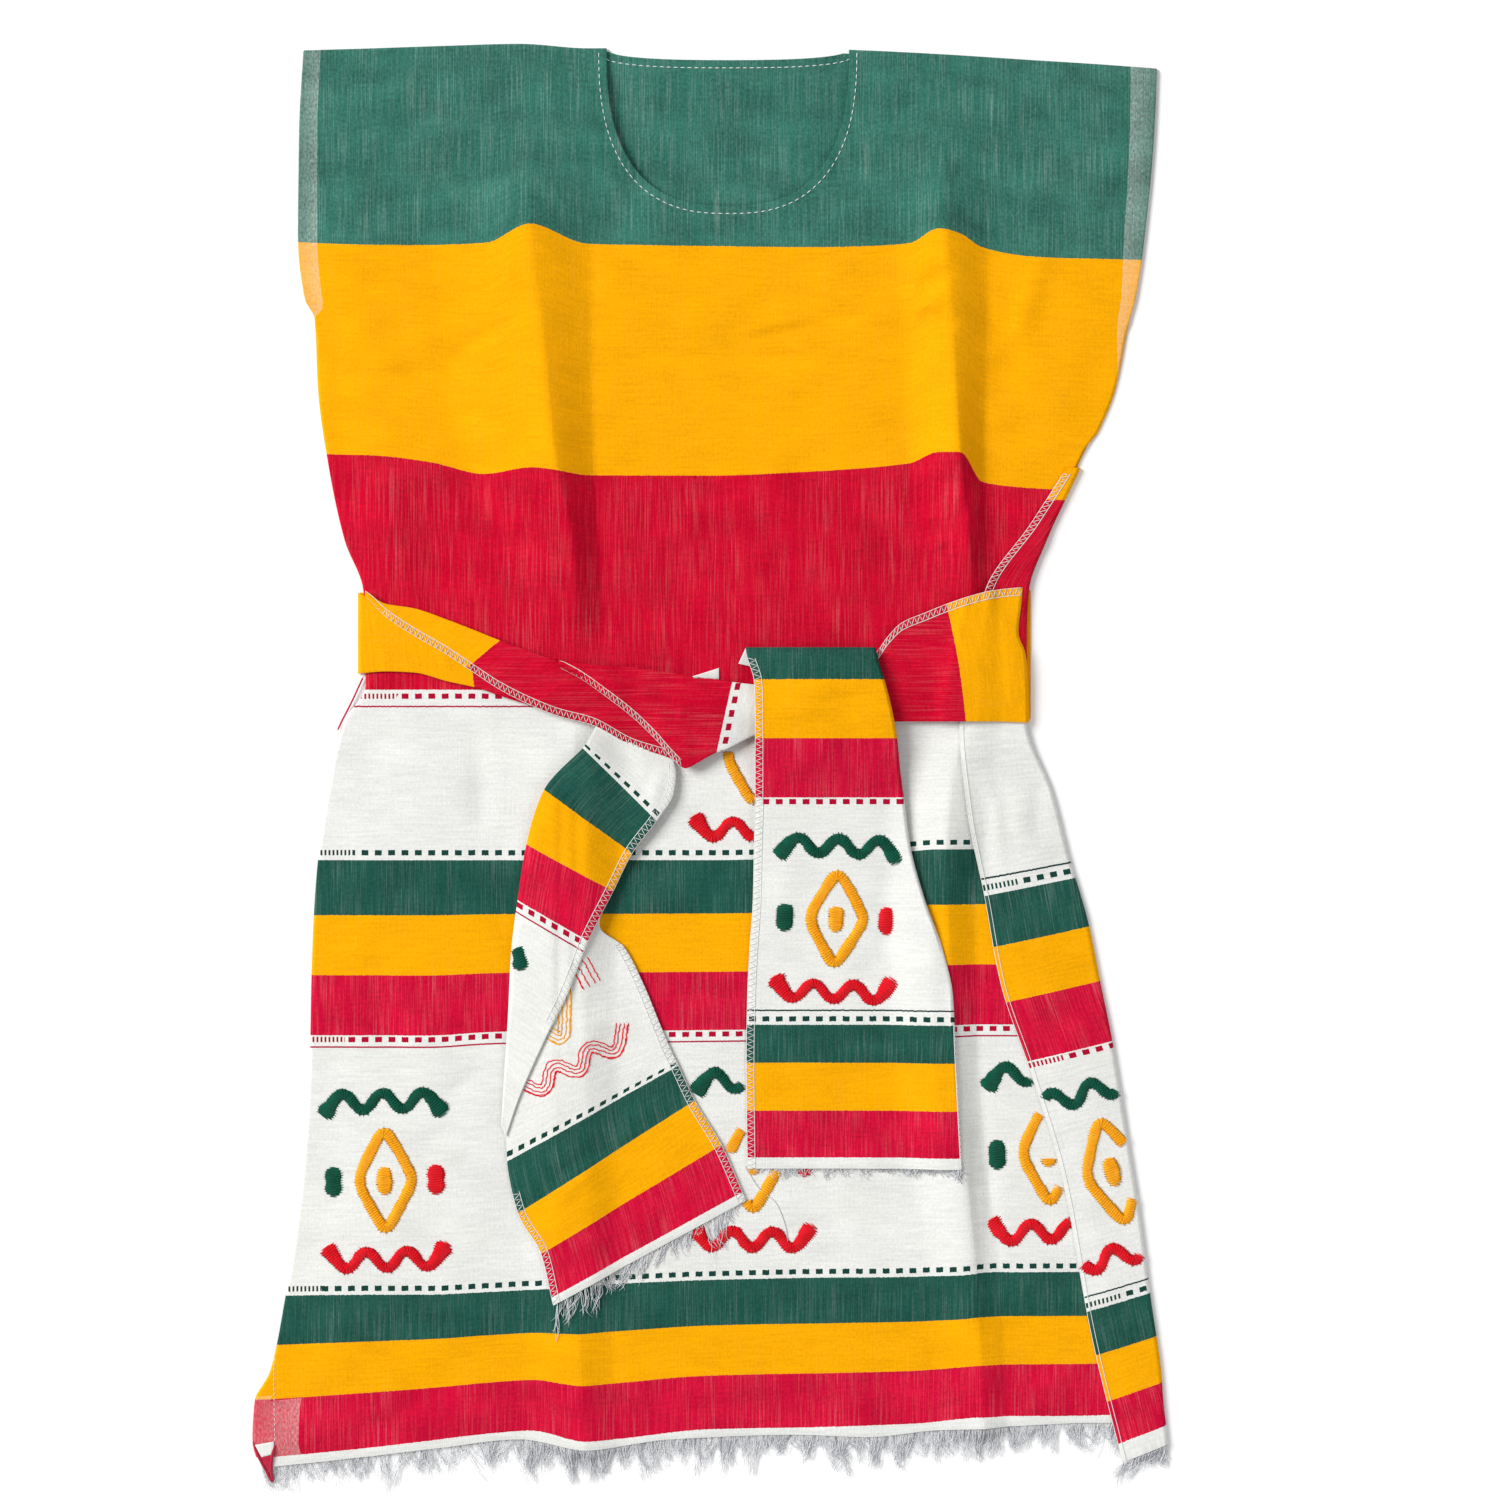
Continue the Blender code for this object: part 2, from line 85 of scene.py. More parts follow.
class Table:
    """Rows of sizes under named columns, read along the first one by a curve with no overshoot."""

    def __init__(self, names, *rows):
        self.names = names.split()
        self.rows = np.array(sorted(rows), float)
        step = np.diff(self.rows, axis=0)
        rise = step / step[:, :1]
        before, after = rise[:-1], rise[1:]
        same = before * after > 0
        mean = np.where(same, 2 * before * after / np.where(same, before + after, 1), 0)
        self.slope = np.vstack([rise[:1], mean, rise[-1:]])

    def at(self, key, name):
        keys, k = self.rows[:, 0], self.names.index(name)
        key = np.clip(key, keys[0], keys[-1])
        i = np.clip(np.searchsorted(keys, key, side="right") - 1, 0, len(keys) - 2)
        width = keys[i + 1] - keys[i]
        t = (key - keys[i]) / width
        start = (1 + 2 * t) * (1 - t) ** 2 * self.rows[i, k]
        end = t**2 * (3 - 2 * t) * self.rows[i + 1, k]
        lean = t * (1 - t) * width * ((1 - t) * self.slope[i, k] - t * self.slope[i + 1, k])
        return start + end + lean


# Heights up the panels where rows of both gather: the hem's corner, the waist and the sleeve ends.
ROW_LINES = (HEM, -567, -530, -280, 0, 38, 170, 206, 306, 400, 418, 647, SHOULDER)
PANEL_ROWS = [(y - HEM) / (SHOULDER - HEM) for y in ROW_LINES]
FRONT_ROWS = (9, 8, 52, 60, 8, 26, 8, 24, 24, 5, 34, 3)
FRONT_COLUMNS = (2, 22, 20, 12, 62, 12, 10, 26, 2)
BACK_ROWS = (4, 4, 16, 18, 4, 12, 4, 8, 8, 4, 16, 3)

EDGES = Table(
    "y left right",
    (650, -365, 404),
    (576, -369, 401),
    (478, -370, 392),
    (424, -364, 384),
    (406, -355, 379),
    (343, -352, 366),
    (271, -342, 334),
    (207, -328, 304),
    (162, -311, 288),
    (125, -309, 286),
    (75, -309, 286),
    (45, -328, 286),
    (-18, -343, 309),
    (-80, -352, 325),
    (-135, -356, 341),
    (-189, -358, 352),
    (-243, -359, 363),
    (-342, -364, 379),
    (-405, -371, 389),
    (-477, -382, 398),
    (-540, -395, 407),
    (-567, -409, 409),
    (-603, -411, 413),
    (-630, -403, 415),
)

ENDS = Table(
    "x top hem hem_back",
    (-402, 647, -627, -625),
    (-302, 650, -616, -614),
    (-243, 652, -609, -607),
    (-170, 654, -601, -599),
    (-109, 650, -610, -608),
    (-34, 650, -601, -599),
    (80, 650, -597, -595),
    (142, 648, -599, -597),
    (203, 645, -593, -591),
    (297, 639, -588, -588),
    (345, 636, -586, -590),
    (413, 631, -586, -597),
)

LEFT_FOLD = Table(
    "y start crest end height",
    (648, -251, -163, -112, 0),
    (567, -251, -162, -110, 3),
    (486, -251, -161, -105, 14),
    (396, -247, -150, -105, 16),
    (288, -229, -139, -103, 18),
    (189, -206, -121, -98, 14),
    (117, -197, -119, -94, 5),
    (88, -192, -120, -91, 2.5),
    (50, -188, -121, -89, 3),
    (-10, -188, -121, -89, 7),
    (-71, -188, -123, -94, 9),
    (-251, -184, -125, -94, 8),
    (-458, -170, -118, -89, 7),
    (-616, -166, -112, -80, 5),
)

RIGHT_FOLD = Table(
    "y start crest end height",
    (648, 154, 212, 253, 0),
    (567, 158, 212, 253, 3),
    (486, 163, 212, 253, 12),
    (396, 172, 217, 251, 13),
    (288, 176, 223, 248, 18),
    (205, 184, 232, 248, 17),
    (165, 188, 234, 250, 7),
    (117, 194, 235, 253, 3),
    (50, 194, 230, 253, 3),
    (-10, 172, 217, 248, 7),
    (-71, 167, 212, 239, 10),
    (-251, 172, 219, 242, 10),
    (-458, 194, 239, 262, 8),
    (-616, 203, 248, 271, 6),
)

WRAP = Table(
    "y free slant",
    (272, 322, 0.0),
    (221, 289, 0.0),
    (161, 248, 0.0),
    (100, 236, 0.0),
    (44, 225, 0.05),
    (-27, 232, 0.1),
    (-98, 248, 0.2),
    (-171, 262, 0.22),
    (-252, 289, 0.24),
    (-351, 318, 0.26),
    (-486, 343, 0.3),
    (-605, 372, 0.4),
)

BELT_BACK = Table(
    "x low high",
    (-314, 89, 160),
    (289, 46, 162),
)

BELT_LEFT = Table(
    "x low high rise",
    (-316, 87, 160, 0.4),
    (-290, 89, 149, 1.0),
    (-265, 88, 145, 1.2),
    (-234, 80, 134, 1.5),
    (-207, 74, 124, 1.8),
    (-187, 67, 116, 2.0),
    (-157, 58, 105, 2.2),
    (-136, 54, 96, 2.2),
)

BELT_LAP = Table(
    "x low high rise",
    (-308, 157, 161, -0.2),
    (-290, 139, 149.5, 0.0),
    (-265, 122, 145.5, 0.2),
    (-234, 104, 135, 0.6),
    (-207, 86, 124.5, 0.8),
    (-187, 73, 116.5, 0.8),
    (-157, 58, 105.5, 0.8),
    (-134, 49, 97, 0.4),
    (-104, 41, 82, 0.0),
    (-68, 22, 58, -0.4),
    (-32, 10, 34, -0.4),
    (-22, 3, 14, -0.4),
)

BELT_KNOT = Table(
    "x low high rise",
    (-134, 93, 98, -0.6),
    (-115, 83, 96, -0.2),
    (-95, 69, 94, 0.4),
    (-69, 49, 92, 1.0),
    (-47, 28, 89, 1.8),
    (-32, 11, 87, 2.4),
    (-21, 2, 85, 2.8),
    (-10, 7, 83, 2.8),
    (4, 15, 82, 2.4),
    (15, 19, 80, 1.8),
    (40, 31, 77, 0.4),
    (58, 36, 75, -0.2),
)

BELT_RIGHT = Table(
    "x low high rise",
    (96, 52, 92, 4.0),
    (149, 44, 105, 4.4),
    (160, 44, 119, 5.0),
    (173, 44, 132, 5.0),
    (194, 44, 141, 4.4),
    (214, 44, 149, 3.6),
    (235, 44, 156, 2.8),
    (256, 44, 161, 2.0),
    (291, 43, 164, 0.4),
)

TAIL_RIGHT = Table(
    "y left right rise",
    (110, 33, 149, 10.0),
    (104, 34, 150, 15.0),
    (80, 41, 157, 17.5),
    (56, 42, 163, 17.5),
    (29, 42, 168, 15.5),
    (0, 42, 171, 10.0),
    (-28, 42, 175, 5.0),
    (-66, 41, 180, 2.6),
    (-115, 40, 193, 2.0),
    (-160, 37, 209, 1.6),
    (-201, 35, 218, 1.2),
    (-262, 34, 221, 1.0),
    (-357, 35, 226, 0.6),
)

TAIL_FACE = Table(
    "s fold_x fold_y edge_x edge_y rise",
    (-0.4, -90, 50, -33, 16, -0.6),
    (0, -102, 38, -30, -2, 1.8),
    (0.45, -106, 30, -32, -20, 3.0),
    (1, -111, 22, -45, -42, 3.6),
    (2, -147, -17, -69, -74, 3.0),
    (3, -163, -66, -86, -108, 2.2),
    (4, -171, -116, -108, -152, 1.8),
    (5, -177, -165, -126, -198, 1.6),
    (6, -180, -224, -148, -244, 1.2),
    (7, -184, -285, -171, -296, 0.8),
    (8, -186, -318, -182, -328, 0.6),
)

TAIL_REVERSE = Table(
    "s fold_x fold_y edge_x edge_y rise",
    (0, -124, -12, -80, -30, 0.4),
    (1, -154, -62, -92, -92, 0.4),
    (2, -167, -116, -98, -138, 0.6),
    (3, -173, -163, -77, -158, 1.2),
    (4, -176, -206, -59, -192, 1.4),
    (5, -179, -250, -45, -226, 1.4),
    (6, -184, -314, -34, -252, 1.2),
    (7, -183, -349, -28, -264, 1.0),
    (8, -173, -397, -13, -296, 1.0),
    (9, -152, -433, 11, -336, 1.0),
    (10, -141, -479, 33, -386, 0.8),
)

BELT_RIGHT_TURN = Table("y x", (45, 230), (85, 225), (121, 219), (148, 213))
BELT_OUTER = Table("y x", (46, -3), (73, -3.5), (105, -6), (124, -12), (150, -9), (166, -7.5))

# Creases of each cloth: both ends, how far the line bows aside, its half width and its height, in mm.
CREASES = {
    "front": (
        (-334, 396, -331, 300, 0, 5.5, -2), (-335, 356, -235, 362, -3, 5.5, -1.6),
        (-240, 360, -160, 407, 6, 7, -1.9), (-90, 370, 175, 360, 5, 7, -2),
        (30, 384, 140, 409, 3, 5.5, -2), (24, 396, 140, 402, 4, 5.5, 1.6),
        (20, 372, 160, 357, -3, 5.5, 1.2), (186, 428, 222, 448, 2, 5.5, -4.2),
        (188, 412, 224, 398, -2, 5.5, -4.5), (186, 420, 212, 419, 0, 5.5, 3),
        (196, 592, 224, 584, -4, 5.5, -3.9), (214, 520, 262, 548, 8, 9, -3.4),
        (240, 470, 262, 330, 14, 16, -3.8), (300, 480, 250, 360, 10, 12, 2.8),
        (196, 218, 238, 212, 3, 5.5, -5), (200, 190, 244, 206, 4, 5.5, -5),
        (196, 204, 232, 203, -2, 5.5, 3.4), (206, 168, 232, 262, -5, 5.5, -3),
        (-290, 214, -196, 140, 10, 20, -3.5), (-285, 330, -200, 290, -12, 14, 2),
        (-210, 268, -180, 230, 6, 9, 1.9), (-330, 120, -250, 205, 8, 12, 1.9),
        (-120, 250, -40, 150, 16, 18, 1.9), (60, 300, 120, 150, -14, 18, 1.6),
        (-60, 560, -90, 470, 6, 10, -1.4), (-300, 600, -240, 560, 8, 9, -1.4),
        (-220, 560, -170, 500, -6, 10, 1.6), (-262, -340, -226, -326, 4, 5.5, -1.7),
        (-248, -352, -220, -336, -3, 5.5, 1.4), (-236, -300, -196, -268, 6, 5.5, -1.4),
        (-240, -380, -190, -400, -5, 6, 1.3), (-330, -232, -270, -246, 5, 6, -1.3),
        (-300, 20, -210, -46, 12, 18, 1.7), (-215, 60, -205, -70, 5, 9, -2.1),
        (-300, -140, -280, -260, -6, 12, -1.8), (-20, -330, 10, -392, 4, 8, -1.3),
        (60, -420, 130, -408, 6, 8, -1.3), (20, -470, 120, -486, -6, 10, 1.3),
        (120, -378, 200, -392, 5, 5.5, -1.4), (150, -350, 236, -340, -4, 5.5, 1.3),
        (230, -250, 244, -560, 8, 12, -3.4), (180, -100, 196, -300, 5, 10, 1.7),
        (-240, -520, -120, -540, 8, 12, -1.3), (-20, -540, 80, -556, -8, 14, 1.7),
        (-316, 262, -284, 124, 0, 38, 7.5), (240, 268, 246, 130, 4, 10, 2.4),
        (222, 190, 240, 128, -4, 7, -3.6), (-251, 276, -182, 206, 6, 10, -3),
        (-351, 590, -312, 612, 3, 12, -2.4), (-311, 646, -276, 652, -2, 9, -2),
        (-262, 560, -238, 500, 5, 14, -2), (110, 610, 150, 560, -5, 13, -2.2),
        (286, 600, 330, 520, 8, 16, -2.2), (-60, 530, 60, 515, 5, 12, -1.6),
    ),
    "back_wrap": (
        (250, -2, 262, -88, 2, 7, 1.8), (300, -2, 298, -70, -4, 7, -1.2),
        (276, -10, 280, -80, 0, 9, 1), (273, -193, 304, -236, 4, 6, 1.8),
        (262, -150, 300, -160, 3, 6, 1), (330, 190, 290, 215, 3, 7, 1.2),
        (330, -400, 372, -380, 4, 7, 1),
    ),
    "belt_left": (
        (-300, 140, -250, 110, 3, 8, 1.2),
    ),
    "belt_left_lap": (
        (-250, 128, -160, 84, 4, 8, 1),
    ),
    "belt_knot": (
        (-110, 88, -40, 50, 4, 8, 1.1), (-50, 80, -24, 20, 4, 8, -0.9),
    ),
    "belt_right": (
        (262, 152, 274, 60, 4, 9, 1.3), (180, 130, 215, 56, -5, 10, -1),
        (200, 92, 250, 88, 2, 6, 0.9),
    ),
    "tail_right": (
        (52, 67, 146, 74, 2, 6, 1.4), (56, 58, 120, 54, -2, 6, 1.2),
        (100, 62, 150, 66, 2, 5.5, -1.2), (59, -263, 212, -238, 3, 6, -1.5),
        (64, -272, 200, -250, 3, 7, 1.4), (70, -150, 80, -60, 6, 14, 1.2),
        (150, -180, 166, -60, -8, 14, -1.1),
    ),
    "tail_left_face": (
        (-38, 4, -50, -40, -4, 7, 1.8), (-96, 26, -62, -6, 4, 8, -1.2),
        (-110, -10, -80, -44, 4, 7, 1.2), (-150, -40, -100, -70, -4, 9, 1),
    ),
    "tail_left_reverse": (
        (-149, -381, -92, -336, 4, 6, -1.8), (-138, -388, -96, -352, 3, 6, 1.4),
        (-86, -318, -58, -300, 2, 6, -1.2), (-120, -250, -70, -220, 6, 12, 1.5),
        (-110, -170, -90, -240, -8, 14, -1.2), (-110, -440, -60, -400, 4, 9, 1),
    ),
}

# Places up and across where the pattern's lines drift from level, as the cloth was pulled in laying it out.
LINES = {
    "shoulder": 650,
    "yellow": 473,
    "red": 268,
    "white": 72,
    "low_green": -80,
    "low_white": -238,
    "hem_green": -470,
    "hem": -608,
}
DRIFT = Table(
    "x shoulder yellow red white low_green low_white hem_green hem",
    (-400, -3, 4, 18, 0, 0, 0, -2, -10),
    (-300, 0, -1, 15, 0, 0, 0, 0, 0),
    (-250, 2, -1, 9, 0, 0, 0, 0, 6),
    (-200, 3, 0, -2, 0, 0, 3, 2, 12),
    (-160, 4, 16, 3, 0, 0, 4, 4, 15),
    (-110, 0, 0, -3, 0, 0, 4, 8, 6),
    (0, -1, -2, -3, 0, 0, 5, 13, 16),
    (100, -1, -3, 1, 0, 3, 6, 15, 18),
    (180, -3, 0, 8, 0, 8, 9, 16, 21),
    (205, -5, 12, 17, 0, 10, 10, 17, 23),
    (225, -6, 8, 16, 0, 10, 10, 18, 26),
    (245, -7, -3, -9, 0, 10, 10, 20, 28),
    (300, -10, -12, -15, 0, 10, 10, 20, 28),
    (400, -18, -14, -18, 0, 10, 10, 20, 30),
)

# Each colour of the weave runs up from its own line to the next, in mm along the cloth.
STRIPES = (
    (-700, "white"),
    (-608, "red"),
    (-558.5, "yellow"),
    (-512.5, "green"),
    (-470.5, "white"),
    (-238, "red"),
    (-184, "yellow"),
    (-130, "green"),
    (-80.5, "white"),
    (72.5, "red_top"),
    (268, "yellow_top"),
    (473, "green_top"),
)
DASH_ROWS = ((-464.75, "dash_green"), (-241.75, "dash_red"), (-73.8, "dash_green"), (66.75, "dash_red"))
DASH_HALF_HEIGHT = 2.4
THIN_LINES = ((-457, "green_line"), (-248.5, "red_line"), (-66.5, "green_line"), (57.5, "red_line"))
LINE_HALF_HEIGHT = 0.75
DASH_PITCH = 12.0
TICK_PITCH = 3.6
TICKS_REACH = 32.0
# How far a stretch lies from its cloth's woven edge, in mm and in widths of the pale strip: nowhere near it.
NO_EDGE = (99.0, 9.0)

PALETTE = {
    "white": (232, 233, 230),
    "green_top": (52, 113, 99),
    "green": (30, 84, 72),
    "yellow_top": (250, 172, 0),
    "yellow": (248, 172, 0),
    "red_top": (203, 2, 44),
    "red": (208, 10, 56),
    "red_line": (176, 30, 66),
    "green_line": (30, 58, 58),
    "dash_red": (176, 14, 50),
    "dash_green": (26, 66, 58),
    "thread": (238, 238, 236),
    # fringe: the warp ends' off-white cotton, painted darker and bluer than the cloth's white; the
    # difference is painted shade of the threads lying on the floor
    "fringe": (205, 208, 214),
    "embroidered_green": (2, 80, 60),
    "embroidered_yellow": (252, 172, 12),
    "embroidered_red": (224, 6, 28),
}
# How plainly single warp threads show in each colour, from 0 to 1, and how strongly pale and dark ones do.
STREAKS = {"green_top": 0.85, "green": 0.6, "red_top": 0.45, "red": 0.5, "yellow_top": 0.05, "yellow": 0.05}
PALE_WARP = 0.21
DARK_WARP = 0.24
SHADOW = (0.03, 0.03, 0.04, 1)
COOL = (0.93, 0.95, 0.97, 1)
WARM = (1.0, 0.975, 0.94, 1)
WARP_PITCH = 0.95
WEFT_PITCH = 1.05

# Pale strips of the woven edge at the open sleeves and at the hem's left corner.
SELVEDGE = Table(
    "y left right",
    (650, 16, 25),
    (478, 18, 19),
    (420, 16, 13),
    (404, 0.01, 11),
    (330, 0.01, 0.01),
    (-561, 0.01, 0.01),
    (-563, 42, 0.01),
    (-600, 42, 0.01),
)

WRAP_LINES = Table(
    "y v",
    (272, 297),
    (243, 268),
    (44, 50),
    (-91, -75),
    (-140, -130),
    (-189, -184),
    (-243, -238),
    (-464, -465),
    (-508, -512.5),
    (-549.5, -558.5),
    (-588, -608),
    (-597, -616),
)
TAIL_RIGHT_LINES = Table(
    "y v",
    (110, -101),
    (81.5, -130),
    (29, -184),
    (-24, -238),
    (-31, -245),
    (-215, -457),
    (-223, -465),
    (-228, -470.5),
    (-262, -512.5),
    (-305, -558.5),
    (-347, -608),
    (-357, -619),
)
TAIL_FACE_LINES = Table(
    "s v",
    (-0.4, -0.6),
    (1.08, -80.5),
    (2, -130),
    (3, -184),
    (4, -238),
    (4.2, -248),
    (8, -440),
)
TAIL_REVERSE_LINES = Table(
    "s v",
    (0, -250),
    (6.7, -458.5),
    (7.04, -470.5),
    (8, -512.5),
    (9, -558.5),
    (9.85, -608),
    (10, -619),
)


def creases(name, x, y):
    """Soft troughs and ridges of one cloth, each along a bowed line that fades out at both ends."""
    total = 0 * x
    for x0, y0, x1, y1, bow, width, height in CREASES[name]:
        length = np.hypot(x1 - x0, y1 - y0)
        ax, ay = (x1 - x0) / length, (y1 - y0) / length
        t = ((x - x0) * ax + (y - y0) * ay) / length
        inside = np.clip(t, 0, 1)
        fade = np.sin(pi * inside) ** 0.8
        off = (y - y0) * ax - (x - x0) * ay - bow * 4 * inside * (1 - inside)
        total = total + height * fade * np.exp(-((off / width) ** 2))
    return total


def ripple(x, y):
    """The cloth's small uneven swells, with no direction of their own."""
    wave = np.sin(x / 17 + y / 41 + 1.3) * np.sin(y / 23 - x / 67)
    wave = wave + 0.7 * np.sin(x / 9.5 - y / 31 + 0.4) * np.sin(y / 14 + x / 45 + 2)
    return 0.32 * wave


def ease(t):
    t = np.clip(t, 0, 1)
    return t * t * (3 - 2 * t)


def blend(a, b, t):
    return a + (b - a) * t


def spread(across, counts, lines):
    """The place of each column, with so many columns between one line and the next."""
    marks = np.concatenate([[0], np.cumsum(counts)]) / sum(counts)
    place = np.interp(across, marks, np.arange(len(marks)))
    k = np.minimum(place.astype(int), len(counts) - 1)
    lines = np.stack([np.broadcast_to(line, across.shape) for line in lines])
    each = np.arange(across.size)
    return blend(lines[k, each], lines[k + 1, each], place - k)


def over_sash(y):
    """1 over the sash's back stretch and 0 well above and below it."""
    outside = np.maximum(np.maximum(WAIST[0] - y, y - WAIST[1]), 0)
    return np.clip(1 - outside / WAIST_RAMP, 0, 1)


def back_height(x, y):
    return FLOOR_LAYER + LAYER * over_sash(y) + 0 * x


def ridge(fold, x, y):
    """A fold's height: it climbs from its start to its crest and drops to its end."""
    start, crest, end = (fold.at(y, name) for name in ("start", "crest", "end"))
    climb, drop = (x - start) / (crest - start), (end - x) / (end - crest)
    climb = blend(ease(climb), np.clip(climb, 0, 1) ** 1.4, 0.6)
    drop = blend(ease(drop), np.clip(drop, 0, 1), 0.75)
    return fold.at(y, "height") * np.where(x < crest, climb, drop)


def slack(x, y):
    """The air under the front: none at its side seams and shoulders, little at the hem."""
    left, right = EDGES.at(y, "left"), EDGES.at(y, "right")
    inside = ease(np.minimum(x - left, right - x) / 60)
    below = ease((ENDS.at(x, "top") - y) / 50)
    hem = blend(0.35, 1, ease((y + 610) / 160))
    waist = blend(1, 0.5, over_sash(y))
    swell = 2.6 + 1.3 * np.sin(x / 52 + y / 210) * np.cos(y / 95 - x / 160)
    swell = np.maximum(swell + creases("front", x, y) + ripple(x, y), 0)
    return 0.5 + swell * inside * below * hem * waist


def front_height(x, y):
    folds = ridge(LEFT_FOLD, x, y) + ridge(RIGHT_FOLD, x, y)
    return back_height(x, y) + LAYER + slack(x, y) + folds


def highest(height, x, y, reach):
    """The highest that a surface gets within this reach of a point."""
    steps = (-reach, 0, reach)
    return np.max([height(x + dx, y + dy) for dx in steps for dy in steps], axis=0)


def laid_on(height, x, y, rise, reach=9.0):
    return highest(height, x, y, reach) + LAYER + rise


def turned_down(height, foot, depth):
    """A layer's height at this depth from an edge where it turns down to its foot."""
    bend = np.clip(1 - depth / CURL, 0, 1)
    return foot + (height - foot) * np.sqrt(1 - bend**2)


def placed(points):
    """Points in mm about the work's own origin, as metres about the middle of the whole."""
    return (np.stack(points, -1) - (*CENTRE, 0)) * MM


def front_lines(x, y):
    """The pattern's own length coordinate under a point of the front."""
    levels = np.array(sorted(LINES.values()), float)
    names = sorted(LINES, key=LINES.get)
    drifts = np.stack([DRIFT.at(x, name) for name in names])
    each = np.arange(x.size)
    v = y
    for _ in range(6):
        i = np.clip(np.searchsorted(levels, v) - 1, 0, len(levels) - 2)
        t = np.clip((v - levels[i]) / (levels[i + 1] - levels[i]), 0, 1)
        v = y - blend(drifts[i, each], drifts[i + 1, each], t)
    return v


def linear(rgb):
    return tuple(((c / 255 + 0.055) / 1.055) ** 2.4 for c in rgb) + (1,)


class Shader:
    """A cloth or thread material, with its nodes added and joined in the order that they are named."""

    def __init__(self, name, roughness=0.9, sheen=0.0):
        self.made = bpy.data.materials.new(name)
        self.made.use_nodes = True
        self.tree = self.made.node_tree
        self.surface = self.tree.nodes["Principled BSDF"]
        self.surface.inputs["Roughness"].default_value = roughness
        self.surface.inputs["Sheen Weight"].default_value = sheen
        self.surface.inputs["Sheen Roughness"].default_value = 0.6
        self.surface.inputs["Specular IOR Level"].default_value = 0.04

    def add(self, kind, *inputs, out=0, named=None, **settings):
        node = self.tree.nodes.new("ShaderNode" + kind)
        for key, value in settings.items():
            setattr(node, key, value)
        pairs = list(zip(node.inputs, inputs))
        pairs += [(node.inputs[key], value) for key, value in (named or {}).items()]
        for socket, value in pairs:
            if isinstance(value, bpy.types.NodeSocket):
                self.tree.links.new(value, socket)
            elif value is not None:
                socket.default_value = value
        return node.outputs[out]

    def math(self, operation, *inputs):
        return self.add("Math", *inputs, operation=operation)

    def times(self, first, second):
        return self.math("MULTIPLY", first, second)

    def plus(self, first, second):
        return self.math("ADD", first, second)

    def scaled(self, value, by, more):
        return self.math("MULTIPLY_ADD", value, by, more)

    def shaded(self, colour, shade):
        """The colour made darker or lighter by one factor."""
        return self.mix(1.0, colour, self.add("CombineXYZ", shade, shade, shade), "MULTIPLY")

    def axes(self, layer):
        place = self.add("UVMap", uv_map=layer)
        split = self.add("SeparateXYZ", place)
        return split, split.node.outputs[1]

    def noise(self, x, y, x_scale, y_scale, detail=2.0, shift=0.0):
        """Noise from 0 to 1 with its own grain along each axis, in cycles a mm."""
        place = self.add(
            "CombineXYZ",
            self.scaled(x, x_scale, shift),
            self.times(y, y_scale),
        )
        return self.add("TexNoise", place, named={"Scale": 1.0, "Detail": detail})

    def between(self, value, low, high):
        """0 below low, 1 above high and a straight climb between them."""
        return self.add("MapRange", value, low, high, 0.0, 1.0)

    def mix(self, factor, first, second, blend_type="MIX"):
        node = self.tree.nodes.new("ShaderNodeMix")
        node.data_type = "RGBA"
        node.blend_type = blend_type
        for socket, value in zip((node.inputs[0], node.inputs[6], node.inputs[7]), (factor, first, second)):
            if isinstance(value, bpy.types.NodeSocket):
                self.tree.links.new(value, socket)
            else:
                socket.default_value = value
        return node.outputs[2]

    def stripes(self, along):
        """Flat colours along the cloth, each from its own place up to the next, and how streaked each is."""
        kind = STRIPES[0][1]
        colour, amount, last = linear(PALETTE[kind]), 0.0, 0.0
        for start, kind in STRIPES[1:]:
            past = self.math("GREATER_THAN", along, start)
            streaked = STREAKS.get(kind, 0.0)
            colour = self.mix(past, colour, linear(PALETTE[kind]))
            amount = self.scaled(past, streaked - last, amount)
            last = streaked
        return colour, amount

    def finish(self, colour, height, strength, depth):
        bump = self.add("Bump", named={"Strength": strength, "Distance": depth, "Height": height})
        self.tree.links.new(colour, self.surface.inputs["Base Color"])
        self.tree.links.new(bump, self.surface.inputs["Normal"])
        return self.made


